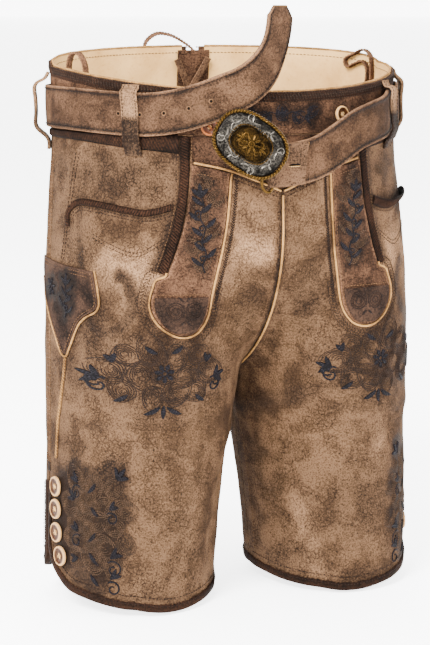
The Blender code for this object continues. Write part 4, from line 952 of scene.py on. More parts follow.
def curl(start, heading, size, way=1, turns=1.2, count=30):
    """A tendril that sets off from a point and rolls up, to the left (way 1) or the right."""
    share = np.linspace(0, 1, count)
    angle = heading + way * 2 * pi * turns * share
    step = size * (0.55 - 0.44 * share) * 2 * pi * turns / count
    moves = np.stack([np.cos(angle) * step, np.sin(angle) * step], 1)
    return np.array(start) + np.concatenate([np.zeros((1, 2)), np.cumsum(moves, 0)[:-1]])


def leaf(start, heading, length, bend=0.5, count=9):
    angle = heading + bend * (np.linspace(0, 1, count) - 0.3)
    moves = np.stack([np.cos(angle), np.sin(angle)], 1) * length / (count - 1)
    return np.array(start) + np.concatenate([np.zeros((1, 2)), np.cumsum(moves, 0)[:-1]])


def stem(points, step=0.0022):
    path = np.array([(*p, 0.0) for p in points], float)
    return even(path, step)[:, :2]


def fan(start, heading, length, spread=0.75, leaves=3, bend=0.5):
    """Leaves that open from one point."""
    found = []
    for k in range(leaves):
        off = (k - (leaves - 1) / 2) * spread
        long = length * (1.0 - 0.22 * abs(off))
        found.append(("leaf", leaf(start, heading + off, long, bend * np.sign(off))))
    return found


def rosette(centre, radius, petals=6):
    found = [("line", arc_path(centre, radius * 0.3, 0, 2 * pi * 0.98, 12))]
    for k in range(petals):
        angle = 2 * pi * k / petals + 0.2
        start = np.array(centre) + radius * 0.38 * np.array([cos(angle), sin(angle)])
        found.append(("leaf", leaf(start, angle, radius * 0.72, 0.0)))
    return found


def placed(strokes, at, turn=0.0, size=1.0, mirror=1):
    """The same strokes turned, scaled, mirrored where mirror is -1, and moved."""
    spin = np.array([[cos(turn), sin(turn)], [-sin(turn), cos(turn)]])
    return [(kind, (path * [mirror, 1]) @ spin * size + np.array(at)) for kind, path in strokes]


def branch(length, pairs):
    """An upright twig: a wavy stem with leaves in turn, tendrils between, and three at the tip."""
    heights = np.linspace(0, length, 2 * pairs + 1)
    spine = stem([(0.0022 * sin(k * 1.9), h) for k, h in enumerate(heights)])
    found = [("line", spine)]
    for k, h in enumerate(heights[1:-1], 1):
        way = 1 if k % 2 else -1
        root = (0.0022 * sin(k * 1.9), h)
        found.append(("leaf", leaf(root, pi / 2 - way * 0.95, 0.0135, way * 0.6)))
        if k % 2 == 0:
            found.append(("line", curl(root, pi / 2 - 0.5, 0.0058, -1, 1.1, 22)))
    return found + fan((0.0022 * sin(2 * pairs * 1.9), length), pi / 2, 0.013, 0.7)


def nest(centre, size, turn, gap=0.0021, lean=0.8):
    """Lines of sewing inside each other, each a drop that leaves its tail open."""
    found = []
    for k, radius in enumerate(np.arange(size, 0.0012, -gap)):
        a = np.linspace(0.25 + 0.3 * k, 2 * pi - 0.15, max(int(radius / 0.00055), 8))
        drop = radius * (1 + 0.22 * np.cos(a) + 0.07 * np.cos(3 * a + k))
        path = np.stack([drop * np.cos(a), drop * np.sin(a) * lean], 1)
        spin = np.array([[cos(turn), sin(turn)], [-sin(turn), cos(turn)]])
        found.append(("line", path @ spin + np.array(centre)))
    return found


def ground(half_x, half_z, step, size):
    """Nests set close together, row by row, over a rounded patch."""
    found, k = [], 0
    for row in range(-8, 9):
        for place in range(-8, 9):
            x, z = (place + 0.5 * (row % 2)) * step, row * step * 0.86
            if (abs(x) / half_x) ** 2.4 + (abs(z) / half_z) ** 2.4 < 1:
                shift = 0.0016 * np.array([sin(k * 2.3), cos(k * 1.7)])
                found += nest(np.array([x, z]) + shift, size * (1 + 0.16 * sin(k * 1.9)), k * 2.4)
                k += 1
    return found


def knee_pattern():
    """A wide low garland: satin leaves and tendrils at its ends and foot."""
    found = []
    for way in (1, -1):
        found.append(("line", curl((way * 0.046, -0.006), pi / 2 - way * 1.2, 0.0150, -way, 1.2)))
        found.append(("line", curl((way * 0.050, -0.012), -pi / 2 + way * 1.0, 0.0110, way, 1.15)))
        found += fan((way * 0.050, -0.006), 0.35 if way > 0 else pi - 0.35, 0.015, 0.7)
        found += fan((way * 0.041, 0.010), pi / 2 - way * 0.3, 0.010, 0.8, 2)
        found.append(("leaf", leaf((way * 0.006, 0.020), pi / 2 - way * 1.1, 0.013, way * 0.7)))
        found.append(("leaf", leaf((way * 0.030, -0.020), -pi / 2 + way * 0.9, 0.013, way * 0.6)))
        found.append(("leaf", leaf((way * 0.003, -0.031), -pi / 2 + way * 1.0, 0.016, way * 0.7)))
    return found + fan((0.0, -0.030), -pi / 2, 0.013, 0.8, 1) + rosette((0, 0.001), 0.0085, 7)


def knee_scrolls():
    """The tone-on-tone ground of the knee's garland."""
    return ground(0.053, 0.030, 0.0215, 0.0132)


def leg_pattern():
    """Satin leaves and tendrils that climb beside the slit."""
    found = []
    for height, way, size in ((-0.050, 1, 0.014), (-0.030, 1, 0.016), (-0.008, -1, 0.013),
                              (0.018, 1, 0.012), (0.040, -1, 0.014)):
        found.append(("line", curl((way * 0.016, height), pi / 2 - way * 1.1, size, -way, 1.25)))
        found += fan((way * 0.018, height + 0.004), pi / 2 - way * 0.9, size * 0.95, 0.62, 2)
        root = (way * 0.006, height - 0.004)
        found.append(("leaf", leaf(root, pi / 2 + way * 0.8, size, -way * 0.6)))
    found += fan((0.026, 0.052), 0.9, 0.015, 0.7) + fan((-0.024, 0.026), 2.2, 0.013, 0.8)
    return found + fan((-0.018, -0.030), 3.3, 0.012, 0.7, 2)


def leg_scrolls():
    return placed(ground(0.036, 0.056, 0.0215, 0.0132), (0.001, 0.006))


def waist_pattern():
    found = nest((0, 0.002), 0.0075, pi / 2)
    for way in (1, -1):
        found.append(("line", stem([(0, 0), (way * 0.012, 0.0045), (way * 0.024, -0.002)])))
        found.append(("line", curl((way * 0.010, 0.004), pi / 2 - way * 1.2, 0.0052, -way, 1.1, 22)))
        found += fan((way * 0.024, -0.002), 0.1 if way > 0 else pi - 0.1, 0.0095, 0.8)
        found += nest((way * 0.016, -0.001), 0.0070, 0.4 if way > 0 else pi - 0.4)
        found += nest((way * 0.031, 0.004), 0.0060, 0.4 if way > 0 else pi - 0.4)
        found.append(("leaf", leaf((way * 0.013, 0.001), -pi / 2 + way * 0.6, 0.009, way * 0.5)))
    return found + fan((0, 0.001), pi / 2, 0.009, 0.7, 3)


def sew_pattern(strokes, name, place, leaf_half=0.0019, line_half=0.00075, high=0.0009,
                finish="navy_thread", **facts):
    """Strokes of a pattern sewn on a surface: satin leaves and corded lines."""
    work = Sewing()
    for kind, path in strokes:
        share = np.linspace(0, 1, len(path))
        if kind == "leaf":
            half = leaf_half * np.maximum(np.sin(pi * np.clip(share * 0.94 + 0.04, 0, 1)) ** 0.75, 0.12)
            bead(work, path, half, high, LEAF_SECTION)
        else:
            bead(work, path, line_half * (1 - 0.35 * share ** 3), high * 0.8)
    return work.piece(name, finish, place, **facts)


def places_of(*patterns):
    """All points of some patterns, to darken the leather round them."""
    return np.concatenate([path for strokes in patterns for _, path in strokes])


def near(a, b, points, reach):
    """1 on a pattern's points, falling to 0 at a distance, on a grid of flat places."""
    flat = np.stack([a.ravel(), b.ravel()], 1)
    least = np.full(len(flat), 1e3)
    for start in range(0, len(points), 64):
        part = points[start:start + 64]
        apart = np.linalg.norm(flat[:, None] - part[None], axis=-1)
        least = np.minimum(least, apart.min(1))
    return ease(1.25 - least.reshape(a.shape) / reach)


# ---------------- panels
PANEL_ROWS = 150
KNEE_AT = (0.112, -0.281)            # from the middle plane, and height
LEG_AT = (0.074, -0.437)             # forward of the side seam, and height
TWIG_AT = (0.0735, -0.1860)
WAIST_AT = (0.0, -0.0440)
# Painted shade darkens the leather along a line of the tongue's own shape, forward of the seam.
TONGUE_RIM = [(row[1], row[0]) for row in TONGUE[3:]] + [(row[2], row[0]) for row in TONGUE[:6:-1]]
SIDE_V = ((0.074, -0.153), (0.098, -0.162), (0.125, -0.168), (0.144, -0.158), (0.163, -0.144))


def panel_columns(face):
    """Shares across a panel. The front has no column inside the step at the flap's corner."""
    if face < 0:
        return np.linspace(0, 1, 96)
    return np.concatenate([np.linspace(0, FLAP_STEP[0], 34), np.linspace(FLAP_STEP[1], 1, 72)])


def top_edge(face, t):
    """Height of a panel's top edge: the band seam, or the flap's own edge in the middle."""
    if face < 0:
        return np.full_like(t, BAND_BOTTOM)
    x = -smooth_shell(1, t, np.full_like(t, -0.09))[:, 0]
    return np.where(t < sum(FLAP_STEP) / 2, flap_top(x), BAND_BOTTOM)


def panel_heights(face, t):
    """Grid of heights: rows from the top edge to the crotch, closer there, and on to the hem."""
    upper = int(PANEL_ROWS * 0.52)
    down = 1 - (1 - np.linspace(0, 1, upper)) ** 1.3
    leg = np.linspace(0, 1, PANEL_ROWS - upper + 1)[1:]
    top = top_edge(face, t) - GAP / 2
    hem = hem_edge(face, t)
    return np.concatenate([top + (CROTCH - top) * down[:, None],
                           CROTCH + (hem - CROTCH) * leg[:, None]])


def panel_points(leg, face):
    """A panel's outer and inner face as grids of points, with the grids of shares and heights."""
    t = panel_columns(face)
    z = panel_heights(face, t)
    inset = GAP / 2 + (SLIT_GAP - GAP) / 2 * ease((SLIT_TOP + 0.006 - z) / 0.012)
    share = np.minimum(np.repeat(t[None], len(z), 0), 1 - inset / PANEL_WIDTH)
    outer = shell(leg, face, share, z)
    inner = outer - normal(leg, face, share, z) * LEATHER
    inseam = z[:, 0] < CROTCH + 0.003
    middle = sway(share, z)
    for points in (outer, inner):
        points[..., 0] = middle + leg * np.maximum((points[..., 0] - middle) * leg, GAP / 2)
        points[inseam, 0, 1] -= face * GAP / 2
    return share, z, outer, inner


def side_distance(points):
    """How far forward of the side seam each point of a front panel lies."""
    steps = np.linalg.norm(np.diff(points, axis=1), axis=-1)[:, ::-1]
    far = np.concatenate([np.zeros((len(points), 1)), np.cumsum(steps, 1)], 1)
    return far[:, ::-1]


# Places on the fronts where the leather is dark with handling, or rubbed pale.
ZONES = (
    # leg (0 both), from the middle plane, height, half across, half down, dark (+) or pale (-)
    (-1, 0.140, -0.098, 0.050, 0.030, 0.75), (1, 0.135, -0.098, 0.050, 0.030, 0.60),
    (-1, 0.172, -0.150, 0.014, 0.060, 0.65), (-1, 0.150, -0.128, 0.040, 0.016, 0.45),
    (-1, 0.130, -0.186, 0.042, 0.024, -0.95), (1, 0.130, -0.175, 0.030, 0.022, -0.60),
    (-1, 0.100, -0.232, 0.045, 0.040, 0.70), (1, 0.100, -0.235, 0.042, 0.045, 0.75),
    (0, 0.040, -0.135, 0.024, 0.040, -0.12), (-1, 0.028, -0.168, 0.022, 0.014, -0.80),
    (-1, 0.026, -0.222, 0.020, 0.036, 0.55), (1, 0.036, -0.215, 0.022, 0.050, 0.60),
    (1, 0.018, -0.160, 0.012, 0.010, 0.55), (-1, 0.168, -0.240, 0.018, 0.060, 0.70),
    (0, 0.112, -0.288, 0.070, 0.044, 0.85), (-1, 0.120, -0.360, 0.060, 0.026, 0.45),
    (1, 0.090, -0.345, 0.050, 0.030, 0.40), (-1, 0.060, -0.385, 0.050, 0.060, 0.30),
    (-1, 0.080, -0.420, 0.022, 0.050, -0.30), (1, 0.100, -0.430, 0.050, 0.070, 0.60),
    (1, 0.120, -0.365, 0.010, 0.030, -0.50), (0, 0.178, -0.420, 0.020, 0.090, 0.70),
    (0, 0.120, -0.505, 0.080, 0.018, 0.60), (1, 0.040, -0.490, 0.030, 0.030, 0.65),
    (-1, 0.040, -0.500, 0.034, 0.016, 0.45),
)


def panel_marks(leg, face, share, z, outer):
    """Where a panel is rubbed light, where it is stained dark, and where shade is painted on it."""
    crease = crease_height(leg, face, share, z)
    wear_and_highlight = 0.50 * ease(crease / 0.0028) + 0.20 * ease((share - 0.985) / 0.012)
    # Darker in the crease hollows (painted shade) and near the hem.
    stain_and_shade = 0.50 * ease(-crease / 0.0024) + 0.45 * ease(1 - (z - hem_edge(face, share)) / 0.016)
    stain_and_shade = np.maximum(stain_and_shade, 0.30 * ease((-0.315 - z) / 0.09))
    if face > 0:
        x, forward = np.abs(outer[..., 0]), side_distance(outer)
        sewn = ((x, KNEE_AT, (knee_pattern(), knee_scrolls()), 0.018, 0.48),
                (forward, LEG_AT, (leg_pattern(), leg_scrolls()), 0.016, 1.0))
        for across, at, strokes, reach, amount in sewn:
            points = places_of(*strokes)[::5] + np.array(at)
            stain_and_shade = np.maximum(stain_and_shade, amount * near(across, z, points, reach))
        for which, across, height, half_across, half_down, amount in ZONES:
            if which in (0, leg):
                away = ((x - across) / half_across) ** 2 + ((z - height) / half_down) ** 2
                spot = np.exp(-away ** 1.4)
                if amount > 0:
                    stain_and_shade = np.maximum(stain_and_shade, 0.75 * amount * spot)
                else:
                    wear_and_highlight = wear_and_highlight - amount * spot
        # Painted shade in a narrow band down both sides of the fly piping.
        by_fly = np.abs(outer[..., 0] - sway(0.0, z)) / 0.0036
        stain_and_shade = np.maximum(stain_and_shade, 0.85 * ease(1.5 - by_fly) * (z < -0.112))
        # Painted shade along the flap's top edge, under its piping.
        by_flap = (flap_top(x) - z) / 0.006
        stain_and_shade = np.maximum(stain_and_shade, 0.65 * ease(1.4 - by_flap) * (x < FLAP_CORNER_X))
        by_strip = np.abs(x - column(STRIP_LINE, 1, z)) / 0.013
        stain_and_shade = np.maximum(stain_and_shade, 0.80 * ease(1.4 - by_strip) * (z > STRIP_END) * (x > 0.09))
        # Painted shade along the pocket mouths and along a line of the tongue's shape.
        for line in (POCKET, TONGUE_RIM):
            stain_and_shade = np.maximum(stain_and_shade, 0.70 * near(forward, z, stem(line, 0.004), 0.009))
    else:
        stain_and_shade = np.maximum(stain_and_shade, 0.55 * ease((z - BAND_BOTTOM + 0.040) / 0.03))
        wear_and_highlight += 0.40 * np.exp(-(((share - 0.45) / 0.30) ** 2 + ((z + 0.205) / 0.055) ** 2))
    wear_and_highlight = wear_and_highlight * (1 - stain_and_shade)
    return {"wear_and_highlight": np.clip(wear_and_highlight, 0, 1), "stain_and_shade": np.clip(stain_and_shade, 0, 1)}


def panels():
    for leg, side in SIDES:
        for face, name in ((1, "front"), (-1, "back")):
            share, z, outer, inner = panel_points(leg, face)
            made = wall(f"{name}_{side}_leather", outer, inner, "suede",
                        stands_for=f"{name}_{side}", marks=panel_marks(leg, face, share, z, outer))
            cut_sheet(outer)


# ---------------- waist
def both_sides(shares):
    """Places on both sides of the middle from shares on one side that start at the middle."""
    shares = np.asarray(shares, float)
    return np.concatenate([-shares[:0:-1], shares])


def hip_band(name, u, low, high, out, thick, finish, rows, held, rests_on, **facts):
    """A wall between two heights round the hips; u is negative on the wearer's right."""
    z = low + (high - low) * np.linspace(0, 1, rows)[:, None] + 0 * u
    u = np.broadcast_to(u, z.shape)
    outer, inner = round_hips(u, z, out), round_hips(u, z, out - thick)
    made = wall(name, outer, inner, finish, **facts)
    cut_sheet(outer)


def waist_cloth():
    stop = GAP / 2 / PANEL_WIDTH
    front = both_sides(np.linspace(0, 1 - stop, 90))
    low = np.full_like(front, BAND_BOTTOM + GAP / 2)
    z = low + (waist_top(front) - low) * np.linspace(0, 1, 24)[:, None]
    x = np.abs(round_hips(np.broadcast_to(front, z.shape), z)[..., 0])
    sewn = places_of(waist_pattern()) + np.array(WAIST_AT)
    stain_and_shade = np.maximum(0.8 * near(np.where(x > 0.05, 1.0, x), z, sewn, 0.008), 0.40)
    hip_band("waistband_front_cloth", front, low, waist_top(front), 0.0, LEATHER, "worn_suede", 24,
             "stretched", ["waist_lining_cloth"], stands_for="waistband_front",
             marks={"stain_and_shade": stain_and_shade, "wear_and_highlight": 0.25 * (stain_and_shade < 0.45)})
    for leg, side in SIDES:
        rise = np.linspace(0, 1, 22)[:, None]
        slit = middle_share(BACK_SLIT_X * (0.12 + 0.88 * rise), BAND_BOTTOM + 0.076 * rise, -1)
        across = slit + (1 - stop - slit) * np.linspace(0, 1, 80)
        u = 2 - across
        heights = BAND_BOTTOM + GAP / 2 + (waist_top(u) - BAND_BOTTOM - GAP / 2) * rise
        outer = around(leg, u, heights)
        made = wall(f"waistband_back_{side}_cloth", outer, around(leg, u, heights, -LEATHER),
                    "worn_suede", stands_for=f"waistband_back_{side}",
                    marks={"stain_and_shade": 0.3, "wear_and_highlight": ease(1.0 - (across - slit) / 0.05)})
        cut_sheet(outer)

    under = LEATHER + UNDER
    u = both_sides(np.linspace(0, 0.484, 40))
    hip_band("front_underlap_cloth", u, UNDERLAP_BOTTOM, BAND_BOTTOM - 0.0006, -under, LEATHER,
             "worn_suede", 30, "hung", ["waistband_front_cloth"],
             marks={"stain_and_shade": 0.45, "wear_and_highlight": 0.1}, stands_for="front_underlap")

    lining_out = -(LEATHER + REST)
    half = np.concatenate([np.linspace(0, 1, 90), 1 + np.linspace(0, 0.955, 90)[1:]])
    u = both_sides(half)
    low, high = np.full_like(u, BAND_BOTTOM + 0.0012), waist_top(u) + 0.0012
    z = low + (high - low) * np.linspace(0, 1, 18)[:, None]
    points = round_hips(np.broadcast_to(u, z.shape), z, lining_out)
    along = run_of(points[-1])[None] + np.zeros_like(z)
    soil = 0.35 * ease((waist_top(u)[None] - 0.012 - z) / 0.03)
    hip_band("waist_lining_cloth", u, low, high, lining_out, LINING, "cream_cotton", 18, "stretched",
             ["waistband_front_cloth"], stands_for="waist_lining", round_by=0.0004,
             marks={"along": along, "across": z, "stain_and_shade": soil, "wear_and_highlight": soil})
    path = round_hips(u, waist_top(u) + 0.0006, lining_out - LINING / 2)
    up = np.repeat([[0.0, 0.0, 1.0]], len(path), 0)
    cord("lining_rolled_edge", path, up, 0.00125, "cream_leather", ridges=0.16, pitch=0.0045)
    work = Sewing()
    for drop in (0.0062, 0.0520):
        path, inward = lift(round_hips, u, waist_top(u) * (drop < 0.02) - drop, lining_out - LINING)
        stitches(work, path, -inward, 0.0028, 0.0038, 0.0004)
    work.piece("lining_stitching", "tan_thread", slot="cream_cotton")

    gusset_out = lining_out - LINING - REST
    x, z = np.meshgrid(np.linspace(-0.0175, 0.0175, 26), np.linspace(-0.058, 0.0125, 40))
    wrinkle = 0.0007 * np.sin(z * 420 + x * 90) * ease(1 - np.abs(x) / 0.0175)
    outer = on_back(x, z, gusset_out)
    # The outer face stays flat: the bands of darker and lighter leather at the wrinkles' period are
    # painted shade and highlight of folds.
    made = wall("back_gusset_cloth", outer, on_back(x, z, gusset_out - THIN - np.abs(wrinkle)),
                "worn_suede", stands_for="back_gusset",
                marks={"stain_and_shade": 0.3 + 0.3 * np.sin(z * 420), "wear_and_highlight": 0.3 - 0.2 * np.sin(z * 420)})
    cut_sheet(outer)


def waist_seams():
    """The ribbed dark band over the waist seam, partly painted shadow of the belt, and the overcast
    strip on the top edge.
    """
    first = float(middle_share(column(STRIP_LINE, 1, STRIP_TOP) + STRIP_HALF + REST, STRIP_TOP))
    for leg, side in SIDES:
        u = np.linspace(first, 1.985, 460)
        low = column(SEAM_BAND_LOW, 1, u)
        middle, half = (SEAM_BAND_TOP + low) / 2, (SEAM_BAND_TOP - low) / 2
        path = around(leg, u, middle, REST)
        up = unit(around(leg, u, middle + 0.004, REST) - path)
        out = unit(around(leg, u, middle, REST + 0.004) - path)
        ribbed_strip(f"waist_seam_band_{side}_leather", path, up, out, half[:, None], THIN * 1.15,
                     0.0031, 0.55, 0.30, stands_for=f"waist_seam_band_{side}")

    rope = Sewing()
    for start, end in ((-1.0, 1.0), (1.0, 1.985), (-1.985, -1.0)):
        u = np.linspace(start, end, 240 if end - start > 1.5 else 140)
        top = waist_top(u)
        for drop, radius in ((0.0010, 0.0008), (0.0088, 0.00055)):
            sew_row(rope, round_hips, u, top - drop, (0.0022, 0.0028, radius))
        sew_row(rope, round_hips, u, top - 0.0048, (0.0066, 0.0030, 0.00085), out=0.0003, lean=1.25)
    rope.piece("waist_edge_overcasting", "dark_thread")
    for name, start, end in (("front", -0.999, 0.999), ("back_left", 1.001, 1.975),
                             ("back_right", -1.975, -1.001)):
        u = np.linspace(start, end, 150)
        z = waist_top(u) - np.array([0.0092, 0.0060, 0.0030, 0.0004])[:, None]
        u = np.broadcast_to(u, z.shape)
        wall(f"waist_edge_strip_{name}", round_hips(u, z, 0.0007), round_hips(u, z, 0.0001),
             "dark_leather", round_by=0.0002, marks={"wear_and_highlight": 0.1, "stain_and_shade": 0.2})

    def on_middle(a, b, out):
        z = b + WAIST_AT[1]
        return round_hips(np.sign(a) * middle_share(a, z), z, out)

    sew_pattern(waist_pattern(), "waist_pattern_sewing", on_middle, leaf_half=0.0015,
                line_half=0.0006, high=0.0008)


def back_lacing():
    gusset_in = -(LEATHER + REST) - LINING - REST - THIN
    thongs = (((-0.0190, 0.0035), (0.0050, -0.0485), 0.0010, "back_thong"),
              ((0.0150, 0.0050), (-0.0100, -0.0360), 0.0034, None))
    for start, end, stand, node_name in thongs:
        share = np.linspace(0, 1, 40)
        x = start[0] + (end[0] - start[0]) * share
        z = start[1] + (end[1] - start[1]) * share
        path = on_back(x, z, gusset_in - REST - stand - 0.0010 * np.sin(pi * share))
        inward = np.repeat([[0.0, -1.0, 0.0]], len(path), 0)
        strap(node_name + "_strap" if node_name else "back_thong_second_strap", path,
              unit(np.cross(tangents(path), inward)), inward, 0.0034, -0.0008, 0.0008,
              "belt_suede", stands_for=node_name)
    rung_x, turn = 0.0125, 0.0050
    line = []
    for k in range(4):
        way = -1 if k % 2 else 1
        height = -0.048 + 2 * turn * k
        line += [(way * f * rung_x, height) for f in (-1, -0.5, 0, 0.5, 1)]
        if k < 3:
            line += [(way * (rung_x + turn * sin(a)), height + turn - turn * cos(a))
                     for a in (pi * 0.2, pi * 0.4, pi * 0.6, pi * 0.8)]
    path, out = lift(on_back, *stem(line, 0.0008).T, REST + 0.0011)
    cord("back_lacing_thong", path, out, 0.0011, "belt_suede", stands_for="back_lacing")
    eyelets = Sewing()
    for k in range(4):
        for way in (-1, 1):
            middle = (way * (rung_x + 0.0005), -0.048 + 2 * turn * k)
            bead(eyelets, arc_path(middle, 0.0021, 0, 2 * pi * 0.985, 18), 0.0005, 0.0007)
    eyelets.piece("back_lacing_eyelets", "brown_thread", on_back)


# ---------------- flap and tongues
def tongue_grid(rows, columns, inset=0.0):
    """A fine grid of x and height over some rows of the tongue, drawn in by a margin."""
    low, top = rows[-1][0], rows[0][0]
    z = np.linspace(top, low, 96 if len(rows) > 8 else 40)
    inner = column(TONGUE, 1, z) + inset
    outer = column(TONGUE, 2, z) - inset
    beside = column(STRIP_LINE, 1, z) - STRIP_HALF - 0.0010
    outer = np.where(z > STRIP_END, np.minimum(beside, outer + 0.004), outer)
    z = np.maximum(z, low + inset)
    x = inner[:, None] + (outer - inner)[:, None] * np.linspace(0, 1, columns)
    z = np.repeat(z[:, None], columns, 1)
    sink = 0.004 * ease(np.arange(len(z)) / 6)[:, None]
    return x, np.minimum(z, flap_top(x) - TONGUE_TOP_DROP - sink)


def outline_of(x, z, bottom_from):
    """A tongue's edge from its top inner corner round the end to beside the strip."""
    edge = [(x[k, 0], z[k, 0]) for k in range(len(x))]
    edge += [(x[k, -1], z[k, -1]) for k in range(len(x) - 1, bottom_from - 1, -1)]
    return stem(edge[::3] + [edge[-1]], 0.002)


def tongues():
    for leg, side in SIDES:
        front, on_tongue = of_leg(on_front, leg), of_leg(on_front, leg, REST + TONGUE_WALL)
        x, z = tongue_grid(TONGUE, 26)
        outer = on_front(leg, x, z, REST + TONGUE_WALL)
        twig = placed(branch(0.070, 5), TWIG_AT, -0.06)
        drops = []
        for k, height in enumerate((-0.178, -0.163, -0.148, -0.133, -0.118, -0.104)):
            way = 1 if k % 2 else -1
            middle = 0.5 * (column(TONGUE, 1, height) + column(TONGUE, 2, height))
            drops += nest((middle + way * 0.0052, height), 0.0088, pi / 2 - way * 0.9, 0.0018)
        stain_and_shade = 0.58 * near(x, z, places_of(twig, drops)[::3], 0.009) + 0.12
        across = (x - x[:, :1]) / (x[:, -1:] - x[:, :1])
        wear_and_highlight = 0.7 * ease((np.abs(across - 0.5) - 0.40) / 0.1)
        made = wall(f"tongue_{side}_leather", outer, on_front(leg, x, z, REST), "worn_suede",
                    stands_for=f"tongue_{side}", marks={"stain_and_shade": np.clip(stain_and_shade, 0, 1), "wear_and_highlight": wear_and_highlight})
        patch_x, patch_z = tongue_grid(TONGUE[-PATCH_ROWS:], 26, PATCH_INSET)
        low = 2 * REST + TONGUE_WALL
        dome = 0.0006 * ease(1 - np.abs(np.linspace(-1, 1, 26)))[None] * np.ones_like(patch_x)
        patch_outer = on_front(leg, patch_x, patch_z, low + PATCH_WALL + dome)
        patch = wall(f"tongue_patch_{side}_leather", patch_outer,
                     on_front(leg, patch_x, patch_z, low), "dark_patch",
                     stands_for=f"tongue_patch_{side}", marks={"stain_and_shade": 0.35, "wear_and_highlight": 0.2})
        cut_sheet(outer)

        edge = outline_of(x, z, 60)
        piping(f"tongue_piping_{side}_leather", front,
               *offset_line(edge, -PIPING - REST).T, 0.22, stands_for=f"tongue_piping_{side}")
        by_piping = -2 * PIPING - REST
        line, away = lift(front, *offset_line(edge, by_piping - 0.0016)[:64].T, SEWN)
        work = Sewing()
        for shift, lean in ((0.0030 * leg, 0.75), (0.0050 * leg, -0.75)):
            stitches(work, line, away, 0.0034, 0.0024, 0.00055, lean=lean * leg, shift=shift)
        work.piece(f"chevron_stitching_{side}", "brown_thread")
        halo = Sewing()
        for away_by, lean in ((0.0034, 0.8), (0.0060, -0.8), (0.0086, 0.5)):
            sew_row(halo, front, *offset_line(edge, by_piping - away_by)[52:].T,
                    (0.0032, 0.0030, 0.0004), lean=lean * leg)
        halo.piece(f"tongue_halo_{side}", "dark_thread")
        work = Sewing()
        sew_row(work, on_tongue, *offset_line(edge, 0.0024).T, RIM_STITCH, out=0.0001)
        x_line = np.linspace(x[0, 0] + 0.003, x[0, -1] - 0.002, 30)
        sew_row(work, on_tongue, x_line, flap_top(x_line) - TONGUE_TOP_DROP - 0.0065, RIM_STITCH,
                out=0.0001)
        sew_row(work, on_tongue, patch_x[0], patch_z[0] + 0.0022, RIM_STITCH, out=0.0001)
        work.piece(f"tongue_stitching_{side}", "tan_thread", slot="worn_suede")
        sew_pattern(drops, f"tongue_scrolls_{side}", on_tongue, line_half=0.0005, high=0.0009,
                    finish="dull_thread", slot="worn_suede")
        sew_pattern(twig, f"tongue_pattern_{side}", on_tongue, leaf_half=0.0025, high=0.0014)

        rings = Sewing()
        for way in (1, -1):
            eye = (PATCH_MIDDLE[0] + way * 0.0088, PATCH_MIDDLE[1])
            for radius, half in ((0.0078, 0.0006), (0.0058, 0.0004), (0.0030, 0.0006)):
                bead(rings, arc_path(eye, radius, 0, 2 * pi * 0.99, 34), half, 0.0008)
        half = 0.0014 * np.maximum(np.sin(pi * np.linspace(0, 1, 9)), 0.15)
        for start, heading, long in PATCH_LEAVES:
            bead(rings, leaf(start, heading, long, 0.3), half, 0.0008, LEAF_SECTION)
        rings.piece(f"tongue_patch_rings_{side}", "brown_thread",
                    of_leg(on_front, leg, low + 0.0015), slot="dark_patch")

        z_line = np.linspace(STRIP_TOP, STRIP_END, 360)
        x_line = column(STRIP_LINE, 1, z_line)
        path, out = lift(front, x_line, z_line, REST)
        across = unit(np.cross(tangents(path), out))
        ribbed_strip(f"plaited_strip_{side}_leather", path, across, out, STRIP_HALF, 0.0024, 0.0026,
                     1.1 * leg, 0.5, stands_for=f"plaited_strip_{side}")
        work = Sewing()
        for shift in (-STRIP_HALF - 0.0011, STRIP_HALF + 0.0011):
            sew_row(work, front, x_line + shift, z_line, STRIP_STITCH)
        work.piece(f"strip_stitching_{side}", "tan_thread")

        x_line = np.linspace(FLAP_CORNER_X - 0.0040, 0.0016, 90)
        piping(f"flap_piping_{side}_leather", front, x_line,
               flap_top(x_line) - PIPING, stands_for=f"flap_piping_{side}")
        work = Sewing()
        x_line = np.linspace(0.049, 0.003, 60)
        for drop in (0.0042, 0.0078):
            sew_row(work, front, x_line, flap_top(x_line) - drop, ROW_STITCH)
        work.piece(f"flap_edge_stitching_{side}", "brown_thread", slot="suede")


def fly():
    """The piping down the centre front seam, and a row of stitches on each side of it."""
    z = np.linspace(-0.1155, -0.2975, 170)
    right = normal(-1, 1, np.zeros_like(z), z)
    out = unit(right * np.array([0.0, 1.0, 1.0]))
    spread = np.abs(np.sqrt(1 - right[:, 0] ** 2))
    rise = (PIPING + 2.5 * GAP) / np.maximum(spread, 0.4)
    path = shell(-1, 1, np.zeros_like(z), z) + out * rise[:, None]
    path[:, 0] = sway(0.0, z)
    cord("fly_piping_leather", path, out, PIPING, "cream_leather", ridges=0.2,
         pitch=PIPING_PITCH, stands_for="fly_piping")
    work = Sewing()
    z = np.linspace(-0.119, -0.262, 120)
    for leg, _ in SIDES:
        sew_row(work, of_leg(on_front, leg), 0.0056, z)
    work.piece("fly_stitching", "tan_thread")


